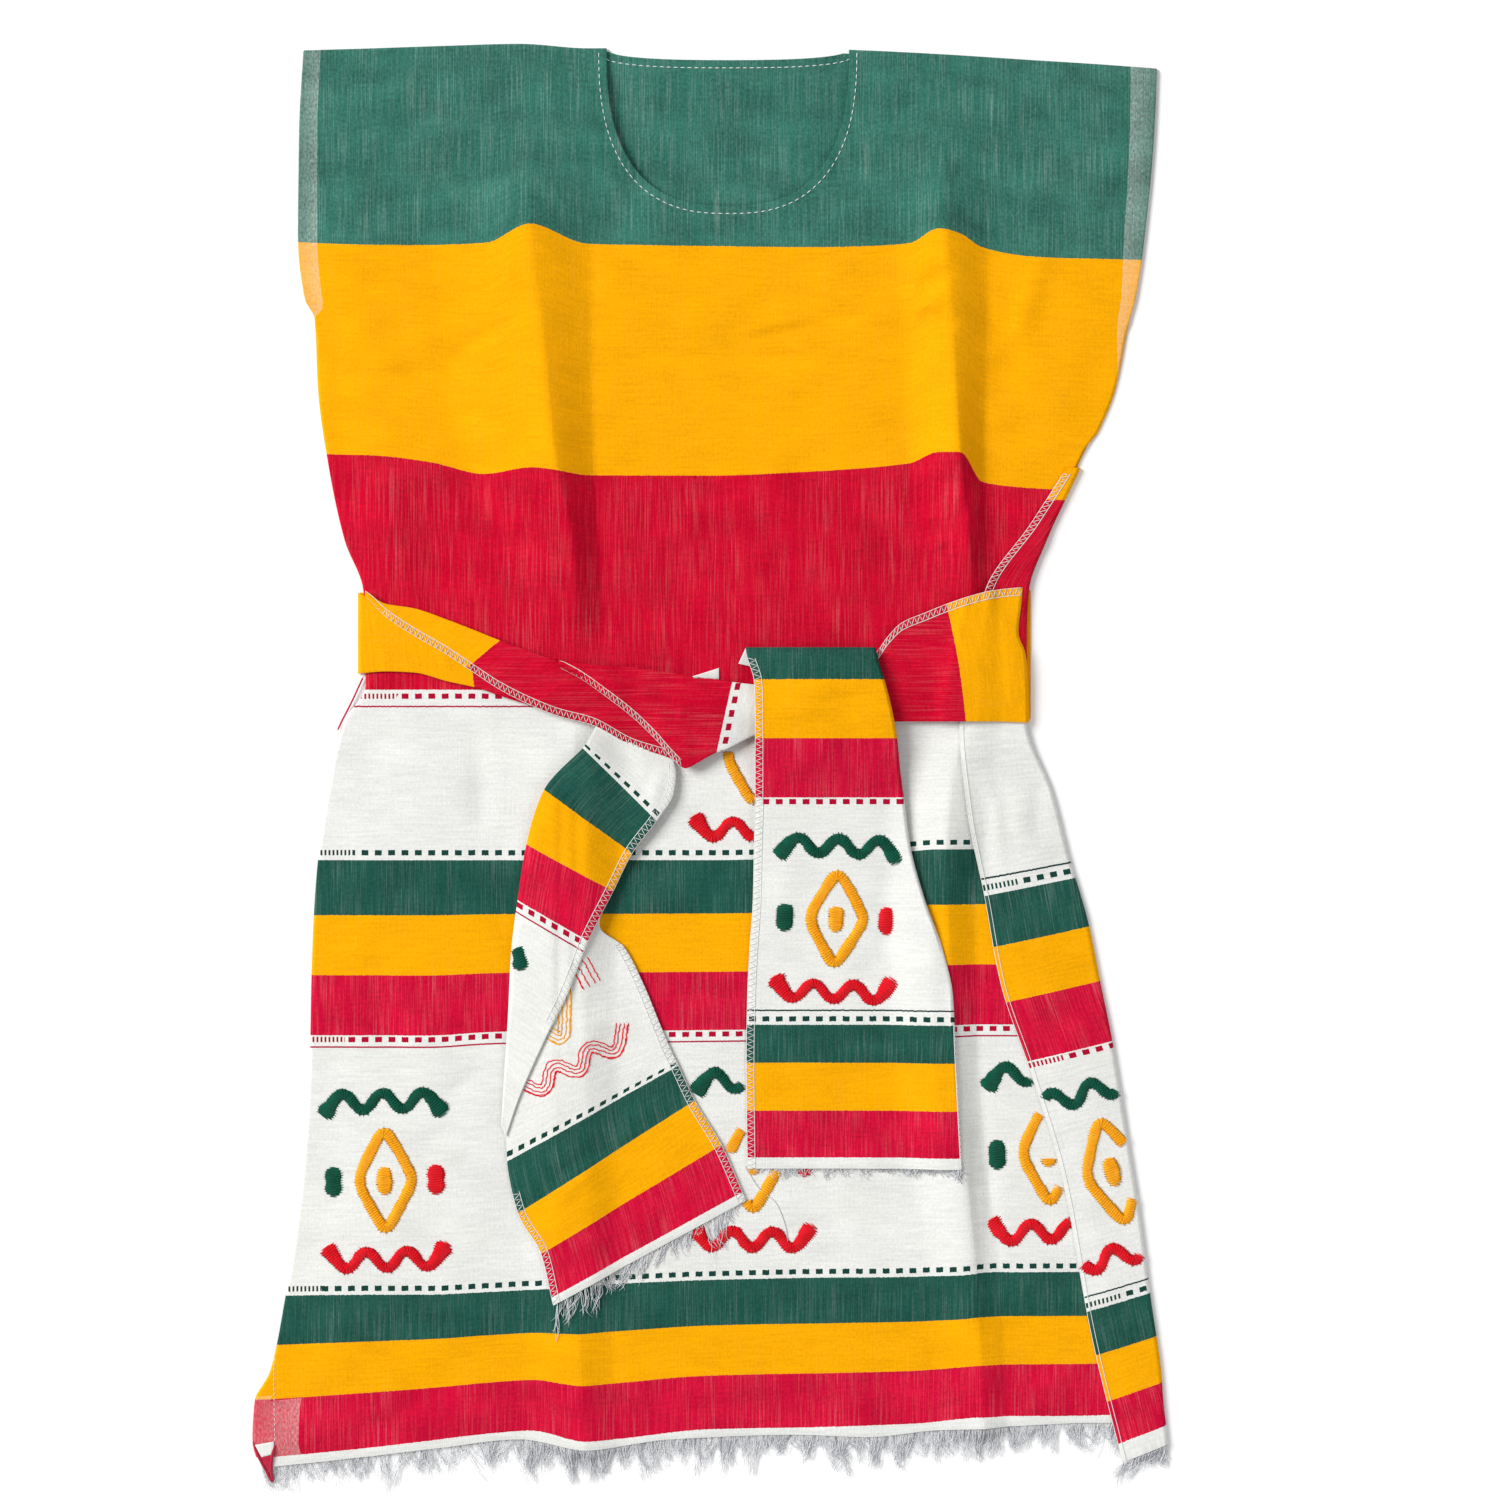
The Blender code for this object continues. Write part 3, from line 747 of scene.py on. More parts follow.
def handwoven(name, thin_lines, shift):
    """Handwoven cotton with its stripes, rows of dashes, pale streaks of warp and low weft ribs."""
    cloth = Shader(name, roughness=0.94)
    u, v = cloth.axes("cloth")
    edge, strip = cloth.axes("selvedge")
    grain = cloth.noise(u, v, 0.75, 0.012, 3.0, shift)
    wander = cloth.scaled(grain, 1.7, cloth.math("SUBTRACT", v, 0.85))
    colour, amount = cloth.stripes(wander)

    warp = cloth.noise(u, v, 0.9, 0.019, 4.0, shift + 40)
    broad = cloth.noise(u, v, 0.07, 0.006, 2.0, shift + 80)
    pale = cloth.times(cloth.between(warp, 0.47, 0.72), cloth.between(broad, 0.25, 0.7))
    pale = cloth.times(cloth.times(pale, amount), PALE_WARP)
    colour = cloth.mix(pale, colour, linear(PALETTE["white"]))
    dark = cloth.times(cloth.between(warp, 0.5, 0.28), amount)
    colour = cloth.mix(cloth.times(dark, DARK_WARP), colour, SHADOW)

    blocks = cloth.math("LESS_THAN", cloth.math("FRACT", cloth.math("DIVIDE", u, DASH_PITCH)), 0.52)
    ticks = cloth.math("LESS_THAN", cloth.math("FRACT", cloth.math("DIVIDE", u, TICK_PITCH)), 0.5)
    near = cloth.math("LESS_THAN", edge, TICKS_REACH)
    blocks = cloth.plus(cloth.times(ticks, near), cloth.times(blocks, cloth.math("SUBTRACT", 1.0, near)))
    for row, kind in DASH_ROWS:
        there = cloth.math("COMPARE", wander, row, DASH_HALF_HEIGHT)
        colour = cloth.mix(cloth.times(there, blocks), colour, linear(PALETTE[kind]))
    for row, kind in THIN_LINES:
        if kind == thin_lines:
            there = cloth.math("COMPARE", wander, row, LINE_HALF_HEIGHT)
            colour = cloth.mix(there, colour, linear(PALETTE[kind]))

    picks = cloth.noise(u, v, 0.035, 0.46, 3.0, shift + 120)
    cover = cloth.between(picks, 0.3, 0.75)
    speckle = cloth.noise(u, v, 0.44, 0.34, 3.0, shift + 160)
    fibres = cloth.noise(u, v, 0.8, 0.3, 3.0, shift + 240)
    inward = cloth.times(cloth.math("LESS_THAN", strip, 1.0), cloth.scaled(strip, 0.27, 0.15))
    woven_edge = cloth.times(inward, cloth.between(fibres, 0.2, 0.72))
    colour = cloth.mix(woven_edge, colour, linear(PALETTE["white"]))

    tone = cloth.noise(u, v, 0.009, 0.011, 2.0, shift + 200)
    colour = cloth.mix(0.6, colour, cloth.mix(tone, COOL, WARM), "MULTIPLY")
    ribbed = cloth.scaled(cover, 0.13, 0.91)
    mottle = cloth.noise(u, v, 0.024, 0.034, 4.0, shift + 300)
    mottled = cloth.times(cloth.math("SUBTRACT", mottle, 0.5), cloth.scaled(amount, 0.9, 0.22))
    fine = cloth.times(cloth.math("SUBTRACT", speckle, 0.5), cloth.scaled(amount, 0.95, 0.3))
    colour = cloth.shaded(colour, cloth.times(ribbed, cloth.plus(cloth.plus(fine, mottled), 1.0)))

    over = cloth.math("SINE", cloth.times(u, tau / WARP_PITCH))
    under = cloth.math("SINE", cloth.times(v, tau / WEFT_PITCH))
    height = cloth.scaled(cloth.times(over, under), 0.16, cloth.times(warp, 0.9))
    height = cloth.plus(height, cloth.scaled(picks, 0.9, cloth.times(speckle, 0.5)))
    return cloth.finish(colour, height, 0.55, 0.0005)


def spun(name, kind, tint, roughness=0.92, sheen=0.2):
    """Cotton thread: its colour wanders a little along it, and loose fibres roughen it."""
    thread = Shader(name, roughness, sheen)
    place = thread.add("TexCoord", out=3)
    coarse = thread.add("TexNoise", place, named={"Scale": 90.0, "Detail": 3.0})
    fine = thread.add("TexNoise", place, named={"Scale": 1400.0, "Detail": 2.0})
    colour = thread.mix(thread.between(coarse, 0.3, 0.7), linear(PALETTE[kind]), linear(tint))
    colour = thread.shaded(colour, thread.scaled(fine, 0.3, 0.83))
    return thread.finish(colour, fine, 0.5, 0.0004)


def piece(name, mesh, finish):
    mesh.materials.append(finish)
    mesh.shade_smooth()
    obj = bpy.data.objects.new(name, mesh)
    bpy.context.scene.collection.objects.link(obj)
    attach(obj, "root")
    return obj


SURFACES = {}


def cloth(name, columns, rows, place, lines, finish, slot, neck=None, own_node=True):
    """A thin layer on the surface place(across, along), with its place in the weave as UVs."""
    across, along = np.meshgrid(np.linspace(0, 1, columns + 1), np.linspace(0, 1, rows + 1))
    across, along = across.ravel(), along.ravel()
    x, y, z = place(across, along)
    if name in CREASES and name != "front":
        z = z + creases(name, x, y)
    corner = np.arange(rows)[:, None] * (columns + 1) + np.arange(columns)
    quads = np.stack([corner, corner + 1, corner + columns + 2, corner + columns + 1], -1).reshape(-1, 4)
    if neck:
        inside = neck_ratio(x, y, neck) < 1.002
        quads = quads[~inside[quads].all(1)]
    points = placed((x, y, z))
    mesh = bpy.data.meshes.new(name)
    mesh.from_pydata(points.tolist(), [], quads.tolist())
    u, v, edge, strip = lines(across, along, x, y)
    for layer, pair in (("cloth", (u, v)), ("selvedge", (edge, strip))):
        corners = np.stack([np.broadcast_to(value, x.shape) for value in pair], -1)[quads.ravel()]
        mesh.uv_layers.new(name=layer).data.foreach_set("uv", corners.ravel())
    SURFACES[name] = BVHTree.FromPolygons(points.tolist(), quads.tolist())
    obj = piece(name + "_cloth", mesh, finish)
    loose = bmesh.new()
    loose.from_mesh(mesh)
    bmesh.ops.delete(loose, geom=[v for v in loose.verts if not v.link_faces], context="VERTS")
    loose.to_mesh(mesh)
    loose.free()
    wall = obj.modifiers.new("wall", "SOLIDIFY")
    wall.thickness = CLOTH * MM
    wall.offset = 0
    obj.modifiers.new("flat_faces", "WEIGHTED_NORMAL")
    if own_node:
        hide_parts(name)
    return obj


def tubes(name, paths, radii, finish, slot, sides=4):
    """Threads along these paths, round or with a width and a height, and with thin closed ends."""
    points, faces, count = [], [], 0
    angles = tau * np.arange(sides) / sides
    for path, radius in zip(paths, radii):
        path = np.asarray(path, float)
        wide, tall = np.broadcast_to(radius, (len(path), 2)).T.copy()
        tangent = np.gradient(path, axis=0)
        tangent /= np.linalg.norm(tangent, axis=1, keepdims=True) + 1e-9
        side = np.cross(tangent, (0, 0, 1))
        side = np.where(np.linalg.norm(side, axis=1, keepdims=True) < 0.05, (1, 0, 0), side)
        side /= np.linalg.norm(side, axis=1, keepdims=True)
        lift = np.cross(side, tangent)
        for size in (wide, tall):
            size[[0, -1]] *= 0.35
        low = np.minimum(tall, wide.clip(max=0.35))
        up = np.sin(angles) * np.where(np.sin(angles) > 0, tall[:, None], low[:, None])
        over = np.cos(angles) * wide[:, None]
        tube = path[:, None] + over[..., None] * side[:, None] + up[..., None] * lift[:, None]
        points.append(tube.reshape(-1, 3))
        base = count + sides * np.arange(len(path) - 1)[:, None]
        this, after = np.arange(sides), np.roll(np.arange(sides), -1)
        corners = (base + this, base + after, base + sides + after, base + sides + this)
        walls = np.stack(np.broadcast_arrays(*corners), -1)
        faces += walls.reshape(-1, 4).tolist()
        last = count + sides * (len(path) - 1)
        faces.append([count + k for k in reversed(range(sides))])
        faces.append([last + k for k in range(sides)])
        count += sides * len(path)
    mesh = bpy.data.meshes.new(name)
    mesh.from_pydata(placed(np.vstack(points).T).tolist(), [], faces)
    return piece(name, mesh, finish)


def top_at(x, y, names=None):
    """The highest cloth at each point, and how high its middle is, in mm."""
    found, heights = [], []
    for px, py in zip(np.atleast_1d(x), np.atleast_1d(y)):
        start = Vector(((px - CENTRE[0]) * MM, (py - CENTRE[1]) * MM, 0.2))
        best, high = None, -1e9
        for name in names or SURFACES:
            hit = SURFACES[name].ray_cast(start, Vector((0, 0, -1)))[0]
            if hit and hit.z > high:
                best, high = name, hit.z
        found.append(best)
        heights.append(high / MM)
    return found, np.array(heights)


def run_along(points):
    """How far along its path each point is."""
    return np.concatenate([[0], np.cumsum(np.linalg.norm(np.diff(points, axis=0), axis=1))])


def heading(points):
    """The unit direction of a path at each of its points."""
    ahead = np.gradient(points, axis=0)
    return ahead / np.linalg.norm(ahead, axis=1, keepdims=True)


def sideways(ahead):
    return np.stack([ahead[:, 1], -ahead[:, 0]], -1)


def resampled(points, step):
    """The same path in even steps of about this length."""
    points = np.asarray(points, float)
    run = run_along(points)
    places = np.linspace(0, run[-1], max(2, round(run[-1] / step) + 1))
    return np.stack([np.interp(places, run, points[:, k]) for k in range(points.shape[1])], -1)


def neck_ratio(x, y, depth):
    """1 on the neck's cut edge, less inside it and more outside."""
    across = np.abs((x - NECK_CENTRE) / NECK_HALF_WIDTH)
    down = np.abs((y - SHOULDER) / depth)
    return (across**NECK_SQUARENESS + down**NECK_SQUARENESS) ** (1 / NECK_SQUARENESS)


def round_neck(x, y, depth):
    """Moves what lies inside the neck out to its cut edge."""
    ratio = np.maximum(neck_ratio(x, y, depth), 1e-3)
    grow = np.where(ratio < 1, 1 / ratio, 1)
    return NECK_CENTRE + (x - NECK_CENTRE) * grow, SHOULDER + (y - SHOULDER) * grow


def neck_turning(x, y, depth):
    """The low step of the hem that is turned under along the neck."""
    ratio = np.maximum(neck_ratio(x, y, depth), 1e-3)
    beyond = np.hypot(x - NECK_CENTRE, y - SHOULDER) * (1 - 1 / ratio)
    return 0.7 * ease((NECK_HEM - beyond) / 1.5)


def neck_line(depth, out):
    """Points along the neck's edge, this far outside it."""
    turn = np.linspace(0.02, pi - 0.02, 240)
    power = 2 / NECK_SQUARENESS
    x = NECK_CENTRE + NECK_HALF_WIDTH * np.sign(np.cos(turn)) * np.abs(np.cos(turn)) ** power
    y = SHOULDER - depth * np.sin(turn) ** power
    edge = np.stack([x, y], -1)
    return edge - out * sideways(heading(edge))


def selvedges(x, y):
    left, right = x - EDGES.at(y, "left"), EDGES.at(y, "right") - x
    edge = np.minimum(left, right)
    return edge, np.minimum(left / SELVEDGE.at(y, "left"), right / SELVEDGE.at(y, "right"))


def front_weave(across, along, x, y):
    return (x, front_lines(x, y), *selvedges(x, y))


def wrap_weave(across, along, x, y):
    level = blend(WRAP_HEM, WRAP_TOP, along)
    into = x - WRAP.at(level, "free")
    return into, WRAP_LINES.at(level, "v"), into, NO_EDGE[1]


def sash_weave(turn):
    """The weave of a stretch of sash: its own length coordinate from turn(x, y)."""
    return lambda across, along, x, y: (y * 1.0, turn(x, y), *NO_EDGE)


def tail_right_weave(across, along, x, y):
    return x * 1.0, TAIL_RIGHT_LINES.at(y, "v"), *NO_EDGE


def turned_weave(table, lines):
    """The weave of a slanted stretch: its stripes run from the fold to the edge."""
    def weave(across, along, x, y):
        s = blend(table.rows[-1, 0], table.rows[0, 0], along)
        wide = table.at(s, "edge_x") - table.at(s, "fold_x")
        deep = table.at(s, "edge_y") - table.at(s, "fold_y")
        return across * np.hypot(wide, deep), lines.at(s, "v"), *NO_EDGE
    return weave


def lap_turn(x, y):
    return 268 - (x - 1.2 * (y - 94) + 214) / 1.56


def knot_turn(x, y):
    return 72.5 - (x - 8 - (y - 21) * 12 / 54)


def left_turn(x, y):
    return 268 - (x + 212 + 0.1 * (y - 90))


def right_turn(x, y):
    return 268 + (x - BELT_RIGHT_TURN.at(y, "x"))


def back_turn(x, y):
    return 640 - np.abs(x)


def front_place(across, along):
    along = spread(along, FRONT_ROWS, PANEL_ROWS)
    y = blend(HEM, SHOULDER, along)
    for _ in range(2):
        right = EDGES.at(y, "right")
        under = ease((306 - y) / 20)
        left = EDGES.at(y, "left") + WALL / 2
        right = right - blend(WALL / 2, 5.5, under)
        lines = [left, left + CURL]
        for fold in (LEFT_FOLD, RIGHT_FOLD):
            lines += [fold.at(y, name) for name in ("start", "crest", "end")]
        x = spread(across, FRONT_COLUMNS, [*lines, right - CURL, right])
        y = blend(ENDS.at(x, "hem"), ENDS.at(x, "top") - WALL / 2, along)
    x, y = round_neck(x, y, NECK_DEPTH_FRONT)
    z = front_height(x, y) + neck_turning(x, y, NECK_DEPTH_FRONT)
    foot = back_height(x, y) + 0.1
    sewn_left = ease((SLEEVE_END - y) / 15)
    sewn_right = sewn_left * (1 - under)
    z = blend(z, turned_down(z, foot, x - left), sewn_left)
    z = blend(z, turned_down(z, foot, right - x), sewn_right)
    z = turned_down(z, foot, ENDS.at(x, "top") - WALL / 2 - y)
    return x, y, z


def back_place(across, along):
    along = spread(along, BACK_ROWS, PANEL_ROWS)
    y = blend(HEM, SHOULDER, along)
    for _ in range(2):
        inset = blend(0.6, SEAM_INSET, ease((SLEEVE_END + 12 - y) / 15)) + 5 * over_sash(y)
        x = blend(EDGES.at(y, "left") + inset, EDGES.at(y, "right") - inset, across)
        y = blend(ENDS.at(x, "hem_back"), ENDS.at(x, "top") - SEAM_INSET, along)
    x, y = round_neck(x, y, NECK_DEPTH_BACK)
    return x, y, back_height(x, y) + 0.6 * neck_turning(x, y, NECK_DEPTH_BACK)


def wrap_place(across, along):
    y = blend(WRAP_HEM, WRAP_TOP, along)
    right = EDGES.at(y, "right") - WALL / 2
    x = spread(across, (5, 3), [WRAP.at(y, "free"), right - CURL - 1, right])
    y = y + WRAP.at(y, "slant") * (x - right)
    z = laid_on(front_height, x, y, 0.3 + 0.8 * ease((x - WRAP.at(y, "free")) / 20))
    depth = (right - x) * CURL / (CURL + 1)
    return x, y, turned_down(z, back_height(x, y) + 0.1, depth)


def belt_back_place(across, along):
    x = blend(-314.4, 289.4, across)
    y = blend(BELT_BACK.at(x, "low"), BELT_BACK.at(x, "high"), along)
    return x, y, FLOOR_LAYER + 0 * x


def strip(table, across, along, under, ends=None):
    """A stretch of the sash that runs along X between its table's low and high edges."""
    x = blend(table.rows[0, 0], table.rows[-1, 0], across) if ends is None else ends
    y = blend(table.at(x, "low"), table.at(x, "high"), along)
    crown = CROWN * np.sin(pi * along)
    return x, y, laid_on(under, x, y, table.at(x, "rise") + crown)


def stretch_height(table, under, x, y):
    """The top of a stretch of sash over what it lies on."""
    low, high = table.at(x, "low"), table.at(x, "high")
    along = np.clip((y - low) / (high - low), 0, 1)
    crown = CROWN * np.sin(pi * along)
    return laid_on(under, x, y, table.at(x, "rise") + crown)


def wrap_height(x, y):
    """The top of what the sash lies on: the front, and the wrap where it laps the front."""
    lapped = ease((x - WRAP.at(y, "free") + 14) / 8)
    return front_height(x, y) + (LAYER + 1.4) * lapped


def belt_left_place(across, along):
    outer = BELT_LEFT.rows[0, 0] + WALL / 2
    x = spread(across, (3, 15), [outer, outer + CURL + 1, BELT_LEFT.rows[-1, 0]])
    x, y, z = strip(BELT_LEFT, across, along, front_height, x)
    depth = (x - outer) * CURL / (CURL + 1)
    return x, y, turned_down(z, FLOOR_LAYER, depth)


def left_height(x, y):
    return stretch_height(BELT_LEFT, front_height, x, y)


def belt_lap_place(across, along):
    return strip(BELT_LAP, across, along, left_height)


def lap_height(x, y):
    return stretch_height(BELT_LAP, left_height, x, y)


def belt_knot_place(across, along):
    x, y, z = strip(BELT_KNOT, across, along, lap_height)
    return x, y, z + 2.2 * np.sin(pi * along)


def belt_right_place(across, along):
    outer = BELT_RIGHT.rows[-1, 0] - WALL / 2
    x = spread(across, (12, 3), [BELT_RIGHT.rows[0, 0], outer - CURL - 1, outer])
    x, y, z = strip(BELT_RIGHT, across, along, wrap_height, x)
    depth = (outer - x) * CURL / (CURL + 1)
    z = turned_down(z, FLOOR_LAYER, depth)
    return x + BELT_OUTER.at(y, "x") * ease((x - 252) / 34), y, z


def tail_right_place(across, along):
    y = blend(TAIL_RIGHT.rows[0, 0], TAIL_RIGHT.rows[-1, 0], along)
    left, right = TAIL_RIGHT.at(y, "left"), TAIL_RIGHT.at(y, "right")
    x = spread(across, (7, 2), [left, right - CURL, right])
    crown = 1.5 * np.sin(pi * across)
    z = laid_on(front_height, x, y, TAIL_RIGHT.at(y, "rise") + crown, 12.0)
    foot = front_height(x, y) + LAYER + 0.2
    folded = ease((y + 230) / 40)
    foot = blend(z, np.maximum(z - 3.5, foot), folded)
    return x, y, turned_down(z, foot, right - x)


def slanted(table, across, along):
    """A stretch with rows from a fold line to an edge line, each read from the table."""
    s = blend(table.rows[-1, 0], table.rows[0, 0], along)
    x = blend(table.at(s, "fold_x"), table.at(s, "edge_x"), across)
    y = blend(table.at(s, "fold_y"), table.at(s, "edge_y"), across)
    return x, y, table.at(s, "rise")


def tail_reverse_place(across, along):
    x, y, rise = slanted(TAIL_REVERSE, across, along)
    x = x + 2.0 * (1 - across)
    return x, y, laid_on(front_height, x, y, rise, 12.0)


def tail_face_place(across, along):
    x, y, rise = slanted(TAIL_FACE, across, along)
    z = laid_on(front_height, x, y, rise + LAYER + 1.0, 14.0)
    edge = 1 - np.clip(across / 0.09, 0, 1)
    drop = (LAYER + 1.2) * ease((-20 - y) / 40)
    return x, y, z - drop * edge**2


def stitches(name, path, length, pitch, radius, finish, names=None, lift=0.0):
    """Short raised stitches in a row along a path over the cloth."""
    way = resampled(path, pitch)
    paths = []
    for middle, along in zip(way, heading(way)):
        spots = middle + np.linspace(-0.5, 0.5, 4)[:, None] * length * along
        _, z = top_at(spots[:, 0], spots[:, 1], names)
        if z.min() < 0:
            continue
        rise = CLOTH / 2 + lift + radius * np.array((-0.4, 0.9, 0.9, -0.4))
        paths.append(np.column_stack([spots, z + rise]))
    return tubes(name, paths, [radius] * len(paths), finish, "dress_cloth", sides=5)


def overlock(place, fixed, at, start, end, width=6.5, pitch=5.2, out=0.3):
    """Thread paths over a cut edge: a zigzag across it and a line of stitches along its inner side.

    The edge is where the named parameter, across or along, is 0 or 1, between start and end of the other.
    """
    t = np.linspace(start, end, 160)

    def spots(depth):
        other = np.abs(at - depth)
        return np.stack(place(other, t) if fixed == "across" else place(t, other), -1)

    outer = spots(0 * t)
    depth = width / np.linalg.norm(spots(0 * t + 1) - outer, axis=1).clip(1)
    for _ in range(2):
        reach = np.linalg.norm((spots(depth) - outer)[:, :2], axis=1)
        depth = np.clip(depth * width / reach.clip(0.5), 0, 1)
    inner = spots(depth)
    outward = outer - inner
    outward /= np.linalg.norm(outward, axis=1, keepdims=True)
    outer = outer + out * outward
    run = run_along(outer)
    marks = np.arange(0, run[-1], pitch / 2)
    rise = CLOTH / 2 + THREAD * 0.8
    sides = [np.stack([np.interp(marks, run, side[:, k]) for k in range(3)], -1) for side in (inner, outer)]
    odd = (np.arange(len(marks)) % 2 == 1)[:, None]
    zigzag = np.where(odd, sides[1], sides[0]) + (0, 0, rise)
    middle = (zigzag[1:] + zigzag[:-1]) / 2 + (0, 0, THREAD * 0.8)
    crossing = np.empty((2 * len(zigzag) - 1, 3))
    crossing[0::2], crossing[1::2] = zigzag, middle
    line = sides[0] + (0, 0, rise + 0.1)
    bound = sides[1] + (0, 0, 0.1)
    return [crossing, line, bound]


def fringe(name, place, start, end, clumps, each, way, lengths, bed, seed):
    """Warp ends beyond a woven edge, gathered in uneven clumps that curl and fray."""
    rng = np.random.default_rng(seed)
    way = np.array(way) / np.hypot(*way)
    side = np.array((-way[1], way[0]))
    s = np.linspace(0, 1, 7)
    tips = (np.arange(clumps) + rng.uniform(0.2, 0.8, clumps)) / clumps
    lengths = rng.uniform(*lengths, clumps) * rng.choice((0.75, 1, 1, 1.15), clumps)
    leans = rng.normal(0, 0.2, clumps)
    roots = np.clip(tips[:, None] + rng.uniform(-0.75, 0.75, (clumps, each)) / clumps, 0, 1)
    tip_spots = np.stack(place(blend(start, end, tips), 0 * tips)[:2], -1)
    flat = roots.ravel()
    root_spots = np.stack(place(blend(start, end, flat), 0 * flat), -1).reshape(clumps, each, 3)
    paths, radii = [], []
    for tip, length, lean, group in zip(tip_spots, lengths, leans, root_spots):
        for x, y, z in group:
            gather = (tip - (x, y)) @ side * rng.uniform(0.4, 1.0)
            reach = length * rng.uniform(0.5, 1.12)
            curl = rng.uniform(0.6, 3.6) * np.sin(s * rng.uniform(3, 9) + rng.uniform(0, tau)) * s
            off = gather * s**0.8 + lean * length * s**1.6 + curl + rng.normal(0, 2.2) * s**2
            spots = np.array((x, y)) - way + np.outer(reach * s + 0.6, way) + np.outer(off, side)
            low = bed(spots[:, 0], spots[:, 1]) + rng.uniform(0.2, 2.6) * s
            height = np.maximum(low, blend(z, low, ease(s * 1.6))) + rng.uniform(-0.2, 0.2)
            paths.append(np.column_stack([spots, height]))
            radii.append(rng.uniform(0.2, 0.36))
    # The threads take the fringe finish, whose grey-blue colour is painted shade over the off-white cotton.
    obj = tubes(name + "_threads", paths, radii, FINISH["fringe"], "fringe_cotton", sides=3)
    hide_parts(name)
    return obj


def floor_bed(height):
    return lambda x, y: height + 0 * x


def cloth_bed(names):
    def bed(x, y):
        z = top_at(x, y, names)[1]
        return np.where(z > 0, z + CLOTH / 2 + 0.3, 1.0)
    return bed


def area_light(name, place, aim, size, power, colour):
    lamp = bpy.data.lights.new(name, "AREA")
    lamp.shape = "RECTANGLE"
    lamp.size, lamp.size_y = size
    lamp.energy = power
    lamp.color = colour
    obj = bpy.data.objects.new(name, lamp)
    obj.location = place
    obj.rotation_euler = (Vector(aim) - Vector(place)).to_track_quat("-Z", "Y").to_euler()
    bpy.context.scene.collection.objects.link(obj)
    return obj


def stage():
    mesh = bpy.data.meshes.new("floor")
    corners = ((-6, -6), (6, -6), (6, 6), (-6, 6))
    mesh.from_pydata([(x, y, -0.0004) for x, y in corners], [], [(0, 1, 2, 3)])
    board = Shader("floor_board", roughness=0.8)
    place = board.add("TexCoord", out=3)
    mottle = board.add("TexNoise", place, named={"Scale": 3.0, "Detail": 2.0})
    colour = board.mix(mottle, linear((255, 255, 255)), linear((254, 254, 254)))
    mesh.materials.append(board.finish(colour, mottle, 0.1, 0.0005))
    floor = bpy.data.objects.new("floor", mesh)
    bpy.context.scene.collection.objects.link(floor)

    world = bpy.data.worlds.new("studio")
    world.use_nodes = True
    world.node_tree.nodes["Background"].inputs["Color"].default_value = (1, 1, 1, 1)
    world.node_tree.nodes["Background"].inputs["Strength"].default_value = SKY
    bpy.context.scene.world = world
    area_light("key", (-9.6, 4.4, 8.0), (0, 0, 0), (6.5, 6.5), KEY_POWER, (1, 0.99, 0.975))
    area_light("fill", (2.6, -1.6, 3.2), (0, 0, 0), (2.6, 2.6), FILL_POWER, (0.97, 0.985, 1))

    camera = bpy.data.cameras.new("camera")
    camera.sensor_fit = "HORIZONTAL"
    camera.lens = camera.sensor_width * CAMERA_HEIGHT / FRAME_WIDTH
    obj = bpy.data.objects.new("camera", camera)
    obj.location = (*FRAME_MIDDLE, CAMERA_HEIGHT)
    bpy.context.scene.collection.objects.link(obj)
    bpy.context.scene.camera = obj
    bpy.context.scene.view_settings.view_transform = "Standard"


# The motif that stands in for the photographed lettering: each stroke's colour, half width, how much
# wider its ends are, and its points in mm about the motif's middle.
ZIGZAG = (-54, -36, -18, 0, 18, 36, 54)
LOZENGE = [
    (23, 6), (13, 27), (0, 47), (-12, 26), (-25, 0), (-12, -26), (0, -47), (12, -26), (26, 0), (20, 12),
]
MOTIF = (
    ("green", 5.2, 0.8, [(x, 58 + 26 * (k % 2)) for k, x in enumerate(ZIGZAG)]),
    ("yellow", 5.4, 0.0, LOZENGE),
    ("yellow", 8.0, 0.0, [(0, 12), (0, -12)]),
    ("green", 8.5, 0.0, [(-46, 13), (-46, -13)]),
    ("red", 8.5, 0.0, [(46, 13), (46, -13)]),
    ("red", 5.2, 0.8, [(x, -58 - 26 * (k % 2)) for k, x in enumerate(ZIGZAG)]),
)
# Where it is stitched: the cloth, its middle, its turn in degrees and its height against the full one.
MOTIF_PLACES = (
    ("front", -291, -368, 1.5, 1.0),
    ("front", 40, -350, -1.0, 1.0),
    ("front", 305, -343, 2.0, 1.0),
    ("front", 40, 14, 0.0, 0.94),
    ("back_wrap", 362, -360, 14.5, 1.05),
    ("tail_right", 114, -133, -2.0, 0.92),
    ("tail_left_face", -237, -203, -24.0, 0.9),
)
REVERSE_MOTIF = ("tail_left_reverse", -151, -203, 28.0, 0.95)


def rounded(points, rounds=2):
    """Cuts a path's corners, and keeps its ends."""
    for _ in range(rounds):
        points = np.asarray(points, float)
        near, far = 0.78 * points[:-1] + 0.22 * points[1:], 0.22 * points[:-1] + 0.78 * points[1:]
        inner = np.stack([near, far], 1).reshape(-1, points.shape[1])[1:-1]
        points = np.vstack([points[:1], inner, points[-1:]])
    return points


def turned(points, middle, degrees, tall):
    points = np.asarray(points, float) * (1, tall)
    c, s = np.cos(np.radians(degrees)), np.sin(np.radians(degrees))
    return points @ np.array(((c, s), (-s, c))) + middle


def runs(shown):
    """The stretches in a row of truths, each as its start and end."""
    edges = np.flatnonzero(np.diff(np.concatenate([[False], shown, [False]]).astype(int)))
    return [(a, b) for a, b in zip(edges[::2], edges[1::2]) if b - a > 3]


